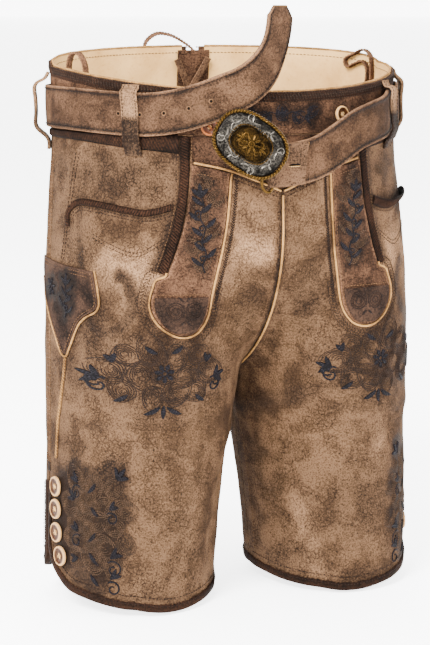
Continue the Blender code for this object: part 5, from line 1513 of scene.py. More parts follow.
# ---------------- pockets
def pockets():
    for leg, side in SIDES:
        beside = of_leg(on_side, leg)
        line = even(np.array([(*p, 0.0) for p in POCKET])[::-1], 0.0006)[:, :2]
        share = np.linspace(0, 1, len(line))
        stand = LIP_LIFT * np.sin(pi * np.clip(share * 1.15, 0, 1)) ** 1.5 if leg > 0 else 0 * share
        low, out = lift(beside, *line.T, REST)
        way = unit(np.cross(tangents(low), out))
        way *= np.sign(way[len(way) // 3, 2])
        broad = POCKET_BINDING * (1.0 if leg < 0 else 1.6) / 2
        low_edge = low - way * broad
        high_edge = low + way * POCKET_BINDING / 2 + out * stand[:, None]
        face = unit(np.cross(tangents(low), high_edge - low_edge))
        face *= np.sign((face * out).sum(1))[:, None]
        middle = (low_edge + high_edge) / 2 + out * 0.0004
        half = np.linalg.norm(high_edge - low_edge, axis=1).mean() / 2
        ribbed_strip(f"pocket_binding_{side}_leather", middle, unit(high_edge - low_edge), face,
                     half, 0.0021, 0.0027, 0.5, 0.4, stands_for=f"pocket_binding_{side}")
        work = Sewing()
        for distance in (0.0050, 0.0078):
            sew_row(work, beside, *offset_line(line, distance).T, ROW_STITCH,
                    keep=slice(None, None, 4))
        zigzag = stem(SIDE_V)
        for drop in (0.0, 0.0034):
            sew_row(work, beside, zigzag[:, 0], zigzag[:, 1] - drop, ROW_STITCH)
        z = np.linspace(-0.078, -0.182, 60)
        for shift in (0.0, 0.0045):
            forward = 0.046 - 0.018 * (z + 0.078) / -0.104 + shift
            sew_row(work, beside, forward, z, ROW_STITCH)
        work.piece(f"pocket_stitching_{side}", "brown_thread", slot="suede")


def knife_pocket():
    beside = of_leg(on_side, -1)
    level = np.linspace(KNIFE[0][0], KNIFE[-1][0], 80)
    back, ahead = column(KNIFE, 1, level), column(KNIFE, 2, level)
    f = np.linspace(0, 1, 60)[None]
    forward = back[:, None] + (ahead - back)[:, None] * f
    slant = KNIFE_SLANT * ease((level[:, None] + 0.215) / 0.029)
    z = level[:, None] - slant * (f - 0.5) + slant * 0.2
    swell = 0.0010 * ease(1 - np.abs(f - 0.5) / 0.5) * ease((level[:, None] + 0.262) / 0.05)
    outer = on_side(-1, forward, z, REST + KNIFE_WALL + swell)
    twig = placed(branch(0.030, 3), (0.041, -0.2350), -0.1)
    twig += placed(rosette((0, 0), 0.0085, 6), (0.012, -0.2090))
    stain_and_shade = 0.15 + 0.75 * near(forward, z, places_of(twig), 0.008)
    from_ends = np.minimum(level[0] - level, level - level[-1])[:, None]
    rim = np.minimum(np.minimum(f, 1 - f) * 0.06, from_ends)
    made = wall("knife_pocket_leather", outer, on_side(-1, forward, z, REST), "dark_patch",
                stands_for="knife_pocket",
                marks={"stain_and_shade": np.clip(stain_and_shade, 0, 1), "wear_and_highlight": 0.8 * ease(1 - rim / 0.004)})
    cut_sheet(outer)

    edge = [(ahead[k], z[k, -1]) for k in range(0, len(level), 3)] + [(ahead[-1], z[-1, -1])]
    edge += [(back[k], z[k, 0]) for k in range(len(level) - 1, 14, -3)]
    edge = stem(edge, 0.002)
    piping("knife_pocket_piping_leather", beside, *offset_line(edge, PIPING + REST).T,
           0.22, stands_for="knife_pocket_piping")
    face = REST + KNIFE_WALL
    work = Sewing()
    sew_row(work, beside, *offset_line(edge, -0.0030).T, KNIFE_STITCH, out=face + 0.0004)
    for drop in (0.0030, 0.0062):
        sew_row(work, beside, forward[0, 3:-3], z[0, 3:-3] - drop, KNIFE_STITCH,
                out=face + 0.0003)
    work.piece("knife_pocket_stitching", "tan_thread", slot="dark_patch")
    sew_pattern(twig, "knife_pocket_pattern", of_leg(on_side, -1, face + 0.0009), leaf_half=0.0017)

    line = even(np.array([(*p, 0.0) for p in KNIFE_STRIP]), 0.0006)[:, :2]
    path, out = lift(beside, *line.T, 0.0004)
    ribbed_strip("knife_strip_leather", path, unit(np.cross(tangents(path), out)), out, 0.0021,
                 0.0017, 0.0030, 0.6, 0.4, "cream_leather", stands_for="knife_strip")


# ---------------- needlework on the legs
def leg_needlework():
    sewn = (("knee", on_front, KNEE_AT, knee_scrolls(), knee_pattern(), "dark_thread"),
            ("leg", on_side, LEG_AT, leg_scrolls(), leg_pattern(), "dull_thread"))
    for leg, side in SIDES:
        for name, surface_of, at, scrolls, _, thread in sewn:
            sew_pattern(scrolls, f"{name}_scrolls_{side}", of_leg(surface_of, leg, 0.0, at),
                        line_half=0.0005, high=0.0009, finish=thread)
        for name, surface_of, at, _, pattern, _ in sewn:
            sew_pattern(pattern, f"{name}_pattern_{side}", of_leg(surface_of, leg, 0.0, at),
                        leaf_half=0.0025, line_half=0.0009, high=0.0015)


# ---------------- hems and seams
def panel_edge(leg, face):
    """The hem's edge and the slit's, from the inseam outwards, with the direction out."""
    share, z, outer, _ = panel_points(leg, face)
    slit = [i for i in range(PANEL_ROWS - 2, 0, -1) if z[i, -1] < SLIT_TOP - 0.008]
    rows = [PANEL_ROWS - 1] * share.shape[1] + slit
    cols = list(range(share.shape[1])) + [share.shape[1] - 1] * len(slit)
    edge = outer[rows, cols]
    edge[0] += (edge[1] - edge[0]) * 0.2
    return edge, normal(leg, face, share[rows, cols], z[rows, cols])


# Half of the hem binding's section: out from the leather as a share of its wall, and up (-) as a
# share of its height or down (+) past the edge.
HEM_PROFILE = ((0.0, -1.0), (0.35, -1.03), (1.0, -0.92), (1.05, -0.4), (1.0, 0.0), (0.80, 0.17),
               (0.30, 0.24))


def hems():
    for leg, side in SIDES:
        for face, name in ((1, "front"), (-1, "back")):
            edge, out = panel_edge(leg, face)
            path = even(np.concatenate([edge, out], 1), 0.0011)
            edge, out = path[:, :3], path[:, 3:]
            along = tangents(edge)
            off = unit(np.cross(along, out))
            off *= -np.sign(off[len(off) // 4, 2])
            facing = unit(np.cross(off, along))
            out = facing * np.sign((facing * out).sum(1))[:, None]
            front, back = REST, -LEATHER - 2 * REST
            w, h = BINDING_WALL, BINDING_HEIGHT
            profile = [(front + w * a, h * b if b < 0 else GAP + w * 4.2 * b) for a, b in HEM_PROFILE]
            profile += [(front + back - a, b) for a, b in profile[::-1]]
            profile = np.array([*profile, (back, -h), (back, GAP), (front, GAP), (front, -h)])
            run = run_of(edge)
            pucker = 1 + 0.06 * np.sin(run * 2 * pi / 0.0052) + 0.05 * np.sin(run * 2 * pi / 0.0171)
            down = profile[None, :, 1:]
            down = np.where(down < 0, down * pucker[:, None, None], down)
            rings = edge[:, None] + out[:, None] * profile[None, :, :1] + off[:, None] * down
            wear_and_highlight = 0.05 + 0.3 * ease((profile[:, 1] / h + 0.2) / 0.3)
            made = sweep(f"hem_binding_{name}_{side}_leather", rings, "dark_leather",
                         marks={"wear_and_highlight": wear_and_highlight[None], "stain_and_shade": 0.5},
                         stands_for=f"hem_binding_{name}_{side}")
            work = Sewing()
            line = edge - off * (BINDING_HEIGHT - 0.0016) + out * (front + w)
            stitches(work, line, out, 0.0023, 0.0033, 0.00042)
            line = edge - off * (BINDING_HEIGHT + 0.0058) + out * 0.0002
            stitches(work, line[6:], out[6:], 0.0027, 0.0037, 0.00042)
            work.piece(f"hem_stitching_{name}_{side}", "brown_thread")


def seams():
    """Rows of stitches beside the seams, the bar tacks over the slits, and the turned-in edges
    of the back seam."""
    for leg, side in SIDES:
        work = Sewing()
        z = np.linspace(-0.077, SLIT_TOP + 0.004, 300)
        # The knife pocket covers the right seam between two heights.
        clear = (z > -0.183) | (z < -0.262) if leg < 0 else slice(None)
        for forward in (-0.0026, -0.0066, 0.0026):
            sew_row(work, of_leg(on_side, leg), forward, z, keep=clear)
        z = np.linspace(CROTCH - 0.02, HEM + 0.026, 200)
        for face in (1, -1):
            sew_row(work, lambda a, b, o: on_panel(leg, face, a, b, o), 0.045, z)
        bars = Sewing()
        for level in np.linspace(SLIT_TOP + 0.0010, SLIT_TOP + 0.0090, 6):
            sew_row(bars, of_leg(on_side, leg), np.linspace(-0.0052, 0.0052, 6), level,
                    (0.0090, 0.0120, 0.0006))
        bars.piece(f"slit_bar_tack_{side}", "brown_thread")
        work.piece(f"seam_stitching_{side}", "tan_thread")
    work = Sewing()
    z = np.linspace(-0.076, -0.285, 200)
    for x in (-0.0075, -0.0035, 0.0035, 0.0075):
        sew_row(work, on_back, x, z)
    work.piece("back_seam_stitching", "tan_thread")

    z = np.linspace(-0.066, CROTCH + 0.006, 150)
    inside = on_back(np.zeros_like(z), z, -LEATHER - REST)
    inward = unit(inside - on_back(np.zeros_like(z), z, 0.0))
    inside[:, 0] = sway(0.0, z)
    made = strap("back_seam_turnings", inside, unit(np.cross(tangents(inside), inward)), inward,
                 0.0056, 0.0, 0.0010, "suede")


# ---------------- buttons
BUTTON_PROFILE = (
    # share of the radius, height
    (0.70, 0.0000), (0.88, 0.0002), (0.97, 0.0009), (1.00, 0.0017), (0.985, 0.0026), (0.94, 0.0034),
    (0.88, 0.0037), (0.80, 0.0036), (0.72, 0.0031), (0.62, 0.0026), (0.50, 0.0024), (0.38, 0.00255),
    (0.20, 0.0027), (0.06, 0.00275),
)
HOLE_AT = 0.2875         # share of the radius from the middle to a hole
BUTTON_HOLE = (
    # radius, height
    (0.00078, 0.0020), (0.00078, 0.00272), (0.000624, 0.00280),
)


def button(name, seat, facing, finish, holes, thread, radius=BUTTON_RADIUS, turn=0.35):
    """A turned disc with a raised rim and a dished middle, sewn on through four holes."""
    facing = unit(np.asarray(facing, float))
    side = unit(np.cross(facing, [0.0, 0.0, 1.0]))
    up = np.cross(side, facing)
    disc = circle(side, up, 40)
    rings = [seat + facing * height + radius * share * disc for share, height in BUTTON_PROFILE]
    radii = np.array([share for share, _ in BUTTON_PROFILE])[:, None]
    sweep(name + "_turned", rings, finish, marks={"turned": radii}, slot="horn", stands_for=name)
    turns = turn + pi / 4 + np.arange(4) * pi / 2
    middles = [seat + radius * HOLE_AT * (side * cos(a) + up * sin(a)) for a in turns]
    for middle in middles:
        holes.add(np.array([[middle + facing * height + disc[::4] * wide
                             for wide, height in BUTTON_HOLE]]), 0.0, 0.0)
    for k in (0, 2):
        ends = np.array(middles[k:k + 2]) + facing * 0.00285
        path = np.linspace(ends[0], ends[1], 9)
        stitches(thread, path, np.repeat(facing[None], 9, 0),
                 np.linalg.norm(ends[1] - ends[0]) * 0.96, 1.0, 0.00052)


def buttons():
    holes, threads, tabs = Sewing(), Sewing(), Sewing()
    for leg, side in SIDES:
        for k, (forward, z) in enumerate(LEG_BUTTONS, 1):
            seat = on_side(leg, forward, z, 0.0005)
            button(f"slit_button_{side}_{k}", seat, on_side(leg, forward, z, 0.01) - seat, "horn",
                   holes, threads, turn=0.3 * k)
            for row in (-0.0010, 0.0010):
                line = np.linspace(forward - 0.0137, forward - 0.0093, 12)
                sew_row(tabs, of_leg(on_side, leg), line, z + row, (0.0040, 0.01, 0.0006))
    for leg, side, x, z in FLAP_BUTTONS:
        u = middle_share(x, z)
        seat = around(leg, u, z, REST)
        button(f"flap_button_{side}", seat, around(leg, u, z, 0.01) - seat,
               "brown_horn" if leg < 0 else "horn", holes, threads, FLAP_BUTTON_RADIUS, 0.8)
    holes.piece("button_holes", "shadow", slot="horn")
    threads.piece("button_threads", "cream_thread", slot="horn")
    tabs.piece("slit_buttonhole_sewing", "brown_thread")


# ---------------- belt
FREE_END = (
    # x, y, z, across_x, across_y, across_z
    (-0.0865, -0.1105, -0.0335, 0.14, 0.05, -0.99), (-0.0610, -0.1195, -0.0235, 0.30, 0.10, -0.95),
    (-0.0415, -0.1290, -0.0135, 0.42, 0.22, -0.88),
    (-0.0260, -0.1345, 0.0020, 0.62, 0.38, -0.70),
    (-0.0170, -0.1355, 0.0190, 0.74, 0.50, -0.45),
    (-0.0120, -0.1340, 0.0350, 0.80, 0.52, -0.28),
    (-0.0098, -0.1325, 0.0480, 0.82, 0.52, -0.16),
    (-0.0100, -0.1318, 0.0570, 0.83, 0.52, -0.10),
)
BUCKLE_END = (
    # x, y, z
    (0.1120, -0.1010, -0.0480), (0.0900, -0.1175, -0.0520), (0.0690, -0.1290, -0.0580),
    (0.0475, -0.1370, -0.0690), (0.0260, -0.1430, -0.0790), (0.0060, -0.1475, -0.0838),
    (-0.0100, -0.1500, -0.0855), (-0.0235, -0.1512, -0.0858),
)
FOLD_THICK = 0.0024
BAIL_RADIUS = 0.0015
BELT_HOLES = (0.117, 0.139, 0.163, 0.185, 0.207)   # from the free end
# A hole's sewn rim and its dark floor: radius, and height over the belt.
HOLE_RIM = ((0.0013, -0.0004), (0.0025, -0.0002), (0.0023, 0.0003), (0.0018, 0.00045),
            (0.0013, 0.0002))
HOLE_FLOOR = ((0.0015, -0.0003), (0.0015, 0.00022), (0.0012, 0.00024))


def belt_drop(leg, u):
    """How far the loose belt sinks below its place at the back."""
    return (0.006 if leg > 0 else 0.004) * ease((0.9 - u) / 0.45)


def belt_clear(u):
    return BELT_CLEAR + (BELT_BACK_CLEAR - BELT_CLEAR) * ease((u - 1.5) / 0.3)


def carried(vectors):
    """The same directions with signs that never flip from one to the next."""
    vectors = np.array(vectors)
    for k in range(1, len(vectors)):
        if np.dot(vectors[k], vectors[k - 1]) < 0:
            vectors[k] = -vectors[k]
    return vectors


def belt_line():
    """The belt's middle, outward and width directions, from its buckle end to its free end."""
    rows = [(*p, 0.10, 0.05, -0.99) for p in even(np.array(BUCKLE_END)[::-1], 0.010)]
    front, back = np.linspace(0.563, 0.97, 12), np.linspace(1.03, 1.925, 20)
    for leg, line in ((1, [*front, 1.0, *back, 2.0]), (-1, [*back[::-1], 1.0, *front[::-1], 0.484])):
        for u in line:
            out = belt_clear(u) + BELT_THICK / 2
            high = BELT_TOP - belt_drop(leg, u)
            up, down = around(leg, u, high, out), around(leg, u, high - BELT_WIDTH, out)
            rows.append((*(up + down) / 2, *unit(down - up)))
    rows = even(np.array(rows + list(FREE_END)), 0.0030)
    path = rows[:, :3]
    along = tangents(path)
    out = carried(unit(np.cross(along, unit(rows[:, 3:]))))
    if out[len(out) // 2] @ path[len(out) // 2] < 0:
        out = -out
    across = carried(unit(np.cross(out, along)))
    return path, out, across * -np.sign(across[0, 2])


def belt():
    path, out, across = belt_line()
    run = run_of(path)
    left = run[-1] - run
    half = BELT_WIDTH / 2 * np.where(left < 0.009, 0.55 + 0.45 * left / 0.009, 1.0)
    wave = 0.0005 * np.sin(run * 61) + 0.0004 * np.sin(run * 143 + 1.0)
    across_share = np.array([-1.0, -0.985, -0.93, -0.84, -0.6, -0.3, 0.0, 0.3, 0.6, 0.84, 0.93,
                             0.985, 1.0])
    thick = BELT_THICK / 2
    edge = thick * np.array([0.2, 0.72, 0.98, 0.90, 0.96, 1.0, 1.0, 1.0, 0.96, 0.90, 0.98, 0.72, 0.2])
    ring_a = np.concatenate([across_share, across_share[::-1]])
    ring_h = np.concatenate([edge, -edge[::-1]])
    curl_over = (0.0014 * ring_a ** 2)[None] * np.sin(run * 23)[:, None] * 0.4
    rings = (path[:, None] + across[:, None] * (half[:, None] * ring_a)[..., None]
             + out[:, None] * (ring_h[None] + curl_over + wave[:, None] * 0.4)[..., None])
    rim = ease((np.abs(ring_a) - 0.90) / 0.08)
    groove = np.exp(-((np.abs(ring_a) - 0.84) / 0.03) ** 2)
    hole_at = np.zeros_like(run)
    for hole in BELT_HOLES:
        hole_at += np.exp(-((left - hole) / 0.006) ** 2)
    stain_and_shade = 0.9 * groove[None] + 0.55 * hole_at[:, None] * np.exp(-(ring_a / 0.35) ** 2)[None]
    made = sweep("belt_leather", rings, "belt_suede", stands_for="belt",
                 marks={"wear_and_highlight": rim[None] * 0.8 + 0.2 * (left < 0.11)[:, None],
                        "stain_and_shade": np.clip(stain_and_shade, 0, 1), "along": run[:, None],
                        "across": ring_a[None]})

    work = Sewing()
    keep = (left > 0.010) & (run > 0.012)
    for edge_side in (-0.845, 0.845):
        line = path + across * (half * edge_side)[:, None]
        line = line + out * (thick * 0.93 + wave * 0.4)[:, None]
        stitches(work, line[keep], out[keep], 0.0030, 0.0040, 0.00042)
    work.piece("belt_edge_stitching", "brown_thread", slot="suede")

    tip = path[-1] + (path[-1] - path[-2]) * 0.05
    to_edge = across[-1] * half[-1] * 0.96
    rim_line = np.linspace(tip - to_edge, tip + to_edge, 20)
    cord("belt_tip_raw_edge", rim_line, np.repeat(out[-1:], 20, 0), thick * 0.72, "cream_leather")

    rings_sewn, dark = Sewing(), Sewing()
    for hole in BELT_HOLES:
        k = int(np.argmin(np.abs(left - hole)))
        ring = circle(unit(path[min(k + 1, len(path) - 1)] - path[k - 1]), across[k], 24)
        for face in (1, -1):
            seat = path[k] + out[k] * face * (thick + face * wave[k] * 0.4)
            for sewing, profile in ((rings_sewn, HOLE_RIM), (dark, HOLE_FLOOR)):
                sewing.add(np.array([[seat + ring * wide + out[k] * face * high
                                      for wide, high in profile]]), 0.0, 0.0)
    rings_sewn.piece("belt_hole_rims", "tan_thread")
    dark.piece("belt_holes", "shadow")

    along = unit(path[0] - path[1])
    bar = path[0] + along * (GAP + BAIL_RADIUS)
    reach = BELT_THICK / 2 + REST + FOLD_THICK / 2
    turn = pi * np.linspace(0.12, 0.88, 9)
    near_end = int(np.argmin(np.abs(run - 0.030)))
    rows = [(*(path[k] + out[k] * (reach + 0.0003 * run[k] / 0.01)), *out[k], *across[k])
            for k in range(near_end, -1, -1)]
    rows[0] = (*rows[0][:6], *(across[near_end] + along * 0.30))
    rows += [(*(bar + (along * sin(a) + out[0] * cos(a)) * reach), *(along * sin(a) + out[0] * cos(a)),
              *across[0]) for a in turn]
    rows += [(*(path[k] - out[k] * reach), *-out[k], *across[k]) for k in range(0, 5)]
    rows = np.array(rows)
    strap("belt_turned_end_leather", rows[:, :3], unit(rows[:, 6:]), unit(rows[:, 3:6]),
          BELT_WIDTH / 2 - 0.0006, -FOLD_THICK / 2, FOLD_THICK / 2, "belt_suede",
          stain_and_shade=0.5, stands_for="belt_turned_end")
    start = rows[0]
    edge_line = np.linspace(start[:3] - unit(start[6:]) * BELT_WIDTH * 0.48,
                            start[:3] + unit(start[6:]) * BELT_WIDTH * 0.48, 24)
    cord("belt_turned_end_raw_edge", edge_line, np.repeat(start[None, 3:6], 24, 0), FOLD_THICK * 0.40,
         "cream_leather")
    slot_row = rows[4]
    middle = slot_row[:3] + slot_row[3:6] * (FOLD_THICK / 2 + 0.0002)
    slot_line = np.linspace(middle - unit(along) * 0.0065, middle + unit(along) * 0.0065, 20)
    slit, lip = Sewing(), Sewing()
    away = np.repeat(slot_row[None, 3:6], 20, 0)
    stitches(slit, slot_line, away, 0.0120, 1.0, 0.0009)
    stitches(lip, slot_line + unit(slot_row[6:]) * 0.0013, away, 0.0125, 1.0, 0.0007)
    slit.piece("belt_turned_end_slot", "shadow")
    lip.piece("belt_turned_end_slot_lip", "cream_thread")
    return bar, across[0]


# ---------------- buckle
BUCKLE_AT = (-0.0475, -0.1520, -0.0658)
BUCKLE_LONG = (0.80, -0.18, -0.57)
BUCKLE_FACING = (-0.28, -0.95, 0.10)
BUCKLE_HALF = (0.0345, 0.0255)
ROPE_TURNS = 34
STRAND_OFF = 0.00095     # from the rope's middle to a strand's
STRAND_RADIUS = 0.00105
BAIL_STRAIGHT = (-0.0180, -0.0120, -0.0060, 0.0, 0.0060, 0.0120, 0.0180)
BAIL_BEND = (
    # along the fold, away from it
    (0.0205, 0.0), (0.0235, 0.0015), (0.0242, 0.0050), (0.0215, 0.0085),
)
BAIL_ENDS = ((0.0050, 0.0050), (0.0235, -0.0155))    # along the plate's long and short axis


OVAL = 2.5               # how full the plate's corners are: 2 is an ellipse


def oval(count, long_half, short_half):
    """Points round a full oval, as distances along its two axes."""
    a = 2 * pi * np.arange(count) / count
    x = np.sign(np.cos(a)) * np.abs(np.cos(a)) ** (2 / OVAL)
    y = np.sign(np.sin(a)) * np.abs(np.sin(a)) ** (2 / OVAL)
    return np.stack([x * long_half, y * short_half], 1)


FIELD_LEVELS = (
    # share of the full size, height
    (0.93, -0.0012), (0.94, -0.0004), (0.93, 0.0004), (0.90, 0.0009), (0.86, 0.0013), (0.80, 0.0018),
    (0.70, 0.0023), (0.62, 0.0026), (0.56, 0.0028),
)
BOSS_LEVELS = (
    (0.535, 0.0031), (0.553, 0.0035), (0.550, 0.0043), (0.525, 0.0049), (0.49, 0.0045), (0.46, 0.0048),
    (0.40, 0.0055), (0.28, 0.0061), (0.12, 0.0064),
)


def buckle_pattern():
    """Cut scrolls and leaves that run round the plate between the rim and the boss."""
    found = []
    for k in range(8):
        angle = 2 * pi * (k + 0.5) / 8
        centre = np.array([cos(angle) * BUCKLE_HALF[0] * 0.74, sin(angle) * BUCKLE_HALF[1] * 0.74])
        heading = angle + pi / 2
        found.append(("line", curl(centre, heading, 0.0078, 1 if k % 2 else -1, 1.15, 26)))
        found.append(("leaf", leaf(centre, heading + pi * 0.92, 0.0085, 0.9)))
        found.append(("leaf", leaf(centre, angle, 0.0050, 0.4)))
    return found


def buckle(bar, bar_way):
    centre = np.array(BUCKLE_AT)
    facing = unit(np.array(BUCKLE_FACING))
    long_way = unit(np.array(BUCKLE_LONG) - facing * np.dot(BUCKLE_LONG, facing))
    short_way = np.cross(facing, long_way)

    def place(a, b, h):
        return (centre + np.asarray(a)[..., None] * long_way + np.asarray(b)[..., None] * short_way
                + np.asarray(h)[..., None] * facing)

    for name, levels, finish in (("buckle_field", FIELD_LEVELS, "silver"),
                                 ("buckle_boss", BOSS_LEVELS, "brass")):
        rings = []
        for share, height in levels:
            line = oval(96, BUCKLE_HALF[0] * share, BUCKLE_HALF[1] * share)
            rings.append(place(line[:, 0], line[:, 1], np.full(96, height)))
        hollow = np.linspace(0.95, 0.55, len(levels))[:, None]
        sweep(f"{name}_plate", rings, finish, marks={"hollow": hollow}, stands_for=name)

    def on_plate(levels):
        """A place function on one of the two discs, from its levels inside the rim."""
        shares, heights = np.array(levels)[::-1].T

        def on_disc(a, b, h):
            power = (np.abs(a) / BUCKLE_HALF[0]) ** OVAL + (np.abs(b) / BUCKLE_HALF[1]) ** OVAL
            return place(a, b, h + np.interp(power ** (1 / OVAL), shares, heights))
        return on_disc

    sew_pattern(buckle_pattern(), "buckle_field_scrolls", on_plate(FIELD_LEVELS[2:]),
                leaf_half=0.0012, line_half=0.00062, high=0.0011, finish="silver")
    flower = rosette((0, 0), 0.0085, 8)
    for way in (1, -1):
        flower += fan((way * 0.0088, 0), 0.0 if way > 0 else pi, 0.0075, 0.8)
        for up in (1, -1):
            root = (way * 0.0065, up * 0.0055)
            heading = up * (pi / 2 - way * 0.9)
            flower.append(("line", curl(root, heading, 0.0048, -way * up, 1.0, 20)))
    sew_pattern(flower, "buckle_boss_rosette", on_plate(BOSS_LEVELS[4:]), leaf_half=0.0013,
                line_half=0.0006, high=0.0012, finish="brass")
    beads = Sewing()
    line = oval(64, BUCKLE_HALF[0] * 0.585, BUCKLE_HALF[1] * 0.585)
    angles = 2 * pi * np.arange(8) / 8
    for a, b in line:
        levels = [[(a + r * cos(t), b + r * sin(t), h) for t in angles]
                  for r, h in ((0.0007, 0.0024), (0.00085, 0.0030), (0.0006, 0.0036), (0.0002, 0.0038))]
        beads.add(np.array(levels)[None], 0.0, 0.0)
    beads.piece("buckle_boss_beading", "brass", place)

    count = 420
    line = oval(count, BUCKLE_HALF[0] * 0.995, BUCKLE_HALF[1] * 0.995)
    middle = place(line[:, 0], line[:, 1], np.full(count, 0.0002))
    along = unit(np.roll(middle, -1, 0) - np.roll(middle, 1, 0))
    side = unit(np.cross(along, facing))
    run = run_of(middle)
    strands = Sewing()
    for k in range(2):
        angle = 2 * pi * ROPE_TURNS * run / (run[-1] + run[1]) + k * pi
        path = middle + STRAND_OFF * (side * np.cos(angle)[:, None]
                                      + facing * np.sin(angle)[:, None])
        way = unit(np.roll(path, -1, 0) - np.roll(path, 1, 0))
        across = unit(np.cross(way, facing))
        up = np.cross(across, way)
        rings = path[:, None] + STRAND_RADIUS * circle(across[:, None], up[:, None], 7, 0.5)
        strands.add(np.concatenate([rings, rings[:1]])[None], 0.0, 0.0)
    strands.piece("buckle_rope_rim", "brass", stands_for="buckle_rim")

    under = 0.0012 + GAP + BAIL_RADIUS
    top, foot = (centre + a * long_way + b * short_way - facing * under for a, b in BAIL_ENDS)
    away = unit(np.cross(bar_way, np.cross((-1.0, 0.0, 0.0), bar_way)))
    upper = [bar - bar_way * f + away * g for f, g in BAIL_BEND[::-1]]
    lower = [bar + bar_way * f + away * g for f, g in BAIL_BEND]
    straight = [bar + bar_way * f for f in BAIL_STRAIGHT]
    path = even(even([top, *upper, *straight, *lower, foot], 0.004), 0.0012)
    out = unit(np.cross(tangents(path), np.cross(facing, tangents(path))))
    cord("buckle_bail_wire", path, out, BAIL_RADIUS, "brass", sides=12,
         stands_for="buckle_bail")


# ---------------- loops
BELT_LOOPS = (
    # name, leg, place round the hips, how far the middle stands off the belt
    ("front_right", -1, 0.535, 0.0008), ("front_left", 1, 0.535, 0.0035),
    ("side_right", -1, 1.120, 0.0075), ("side_left", 1, 0.880, 0.0040),
    ("back_right", -1, 1.620, 0.0008), ("back_left", 1, 1.620, 0.0008),
)
LOOP_WALL = 0.0017
LOOP_FOOT = -0.0795


def edge_rows(work, path, across, out, half, height):
    """Stitches along both edges of a strap."""
    for way in (-1, 1):
        line = path + across * half * way * 0.76 + out * height
        stitches(work, line, out, *STRAP_STITCH)


def belt_loops():
    work = Sewing()
    for name, leg, u, stand in BELT_LOOPS:
        face = float(belt_clear(u)) + BELT_THICK + REST + stand
        top = BELT_TOP - float(belt_drop(leg, u))
        low = top - BELT_WIDTH
        start = min(float(waist_top(u)) - 0.0020, top + 0.0110)
        on_band = 2 * REST + THIN
        band_edge = float(column(SEAM_BAND_LOW, 1, u)) - 2 * REST
        rows = ((start, REST), (start * 0.4 + top * 0.6, 0.0016 + stand * 0.3),
                (top + 0.0006, face), (top - 0.0120, face), (top - 0.0280, face),
                (low - 0.0006, face), (low - 0.0040, 0.0016 + (face + on_band) / 2),
                (band_edge, on_band), (band_edge - 0.0035, REST), (LOOP_FOOT, REST))
        z = np.array([row[0] for row in rows])
        low = np.array([row[1] for row in rows])
        path = around(leg, np.full_like(z, u), z, low)
        outward = unit(around(leg, np.full_like(z, u), z, low + 0.004) - path)
        sideways = unit(np.cross([0.0, 0.0, 1.0], outward.mean(0)))
        path = even(path, 0.0016)
        if u > 0.7:
            for _ in range(8):
                path[1:-1] = 0.25 * path[:-2] + 0.5 * path[1:-1] + 0.25 * path[2:]
        share = np.linspace(0, 1, len(path))[:, None]
        facing = unit(np.cross(tangents(path), sideways))
        facing *= np.sign((facing * outward.mean(0)).sum(1))[:, None]
        crumple = 0.0004 * np.sin(share * 48) * ease((share - 0.55) / 0.2) * (u < 0.7)
        path = path + facing * np.maximum(crumple, -0.0002)
        sideways = np.repeat(sideways[None], len(path), 0)
        section = rounded(LOOP_WIDTH / 2, 0.0, LOOP_WALL * (1.7 if u > 0.7 else 1.0), 0.0006)
        rings = strap_rings(path, sideways, facing, section)
        rim = ease((np.abs(section[:, 0]) / (LOOP_WIDTH / 2) - 0.75) / 0.25)
        stain_and_shade = ease((share - 0.40) / 0.14) * (1.0 if u < 0.7 else 0.5)
        made = sweep(f"belt_loop_{name}_strap", rings, "suede",
                     stands_for=f"belt_loop_{name}",
                     marks={"wear_and_highlight": rim[None] * 0.5 + 0.12 * (1 - share), "stain_and_shade": stain_and_shade})
        edge_rows(work, path, sideways, facing, LOOP_WIDTH / 2, LOOP_WALL)
    work.piece("belt_loop_stitching", "brown_thread", slot="suede")


def hanging_loops():
    half = 0.0034
    inside = -(LEATHER + REST + LINING + REST + half)
    routes = {
        "right": (-1, ((0.895, -0.022), (0.895, -0.010), (0.887, 0.003), (0.860, 0.0120),
                       (0.815, 0.0130), (0.780, 0.004), (0.772, -0.010), (0.770, -0.022)), 0.84),
        "left": (1, ((1.030, -0.022), (1.035, -0.006), (1.070, 0.0070), (1.150, 0.0120),
                     (1.240, 0.0080), (1.305, 0.0015), (1.290, -0.0050), (1.230, -0.0020),
                     (1.160, 0.0005), (1.110, -0.0060), (1.100, -0.022)), 1.15),
    }
    back_route = ((-0.0520, 0.1121, -0.0130), (-0.0515, 0.1126, 0.0060), (-0.0480, 0.1126, 0.0210),
                  (-0.0370, 0.1131, 0.0285), (-0.0230, 0.1136, 0.0275), (-0.0080, 0.1141, 0.0205),
                  (0.0060, 0.1136, 0.0090), (0.0130, 0.1136, -0.0100))
    work = Sewing()

    def hanger(name, points, broad, half_width):
        path = even(np.array(points), 0.0015)
        wide = np.repeat(unit(np.array(broad, float))[None], len(path), 0)
        along = tangents(path)
        face = unit(np.cross(along, wide))
        across = unit(np.cross(face, along))
        strap(f"hanging_loop_{name}_strap", path, across, face, half_width, -0.0007, 0.0007,
              "worn_suede",
              slot="suede", stands_for=f"hanging_loop_{name}")
        for side in (1, -1):
            edge_rows(work, path, across, face * side, half_width, 0.0007)

    for name, (leg, rows, at) in routes.items():
        points = [around(leg, u, z, inside) for u, z in rows]
        hanger(name, points, around(leg, at, 0.0, -1.0) - around(leg, at, 0.0), half)
    hanger("back", back_route, (0.10, 0.90, 0.30), 0.0036)
    work.piece("hanging_loop_stitching", "tan_thread")


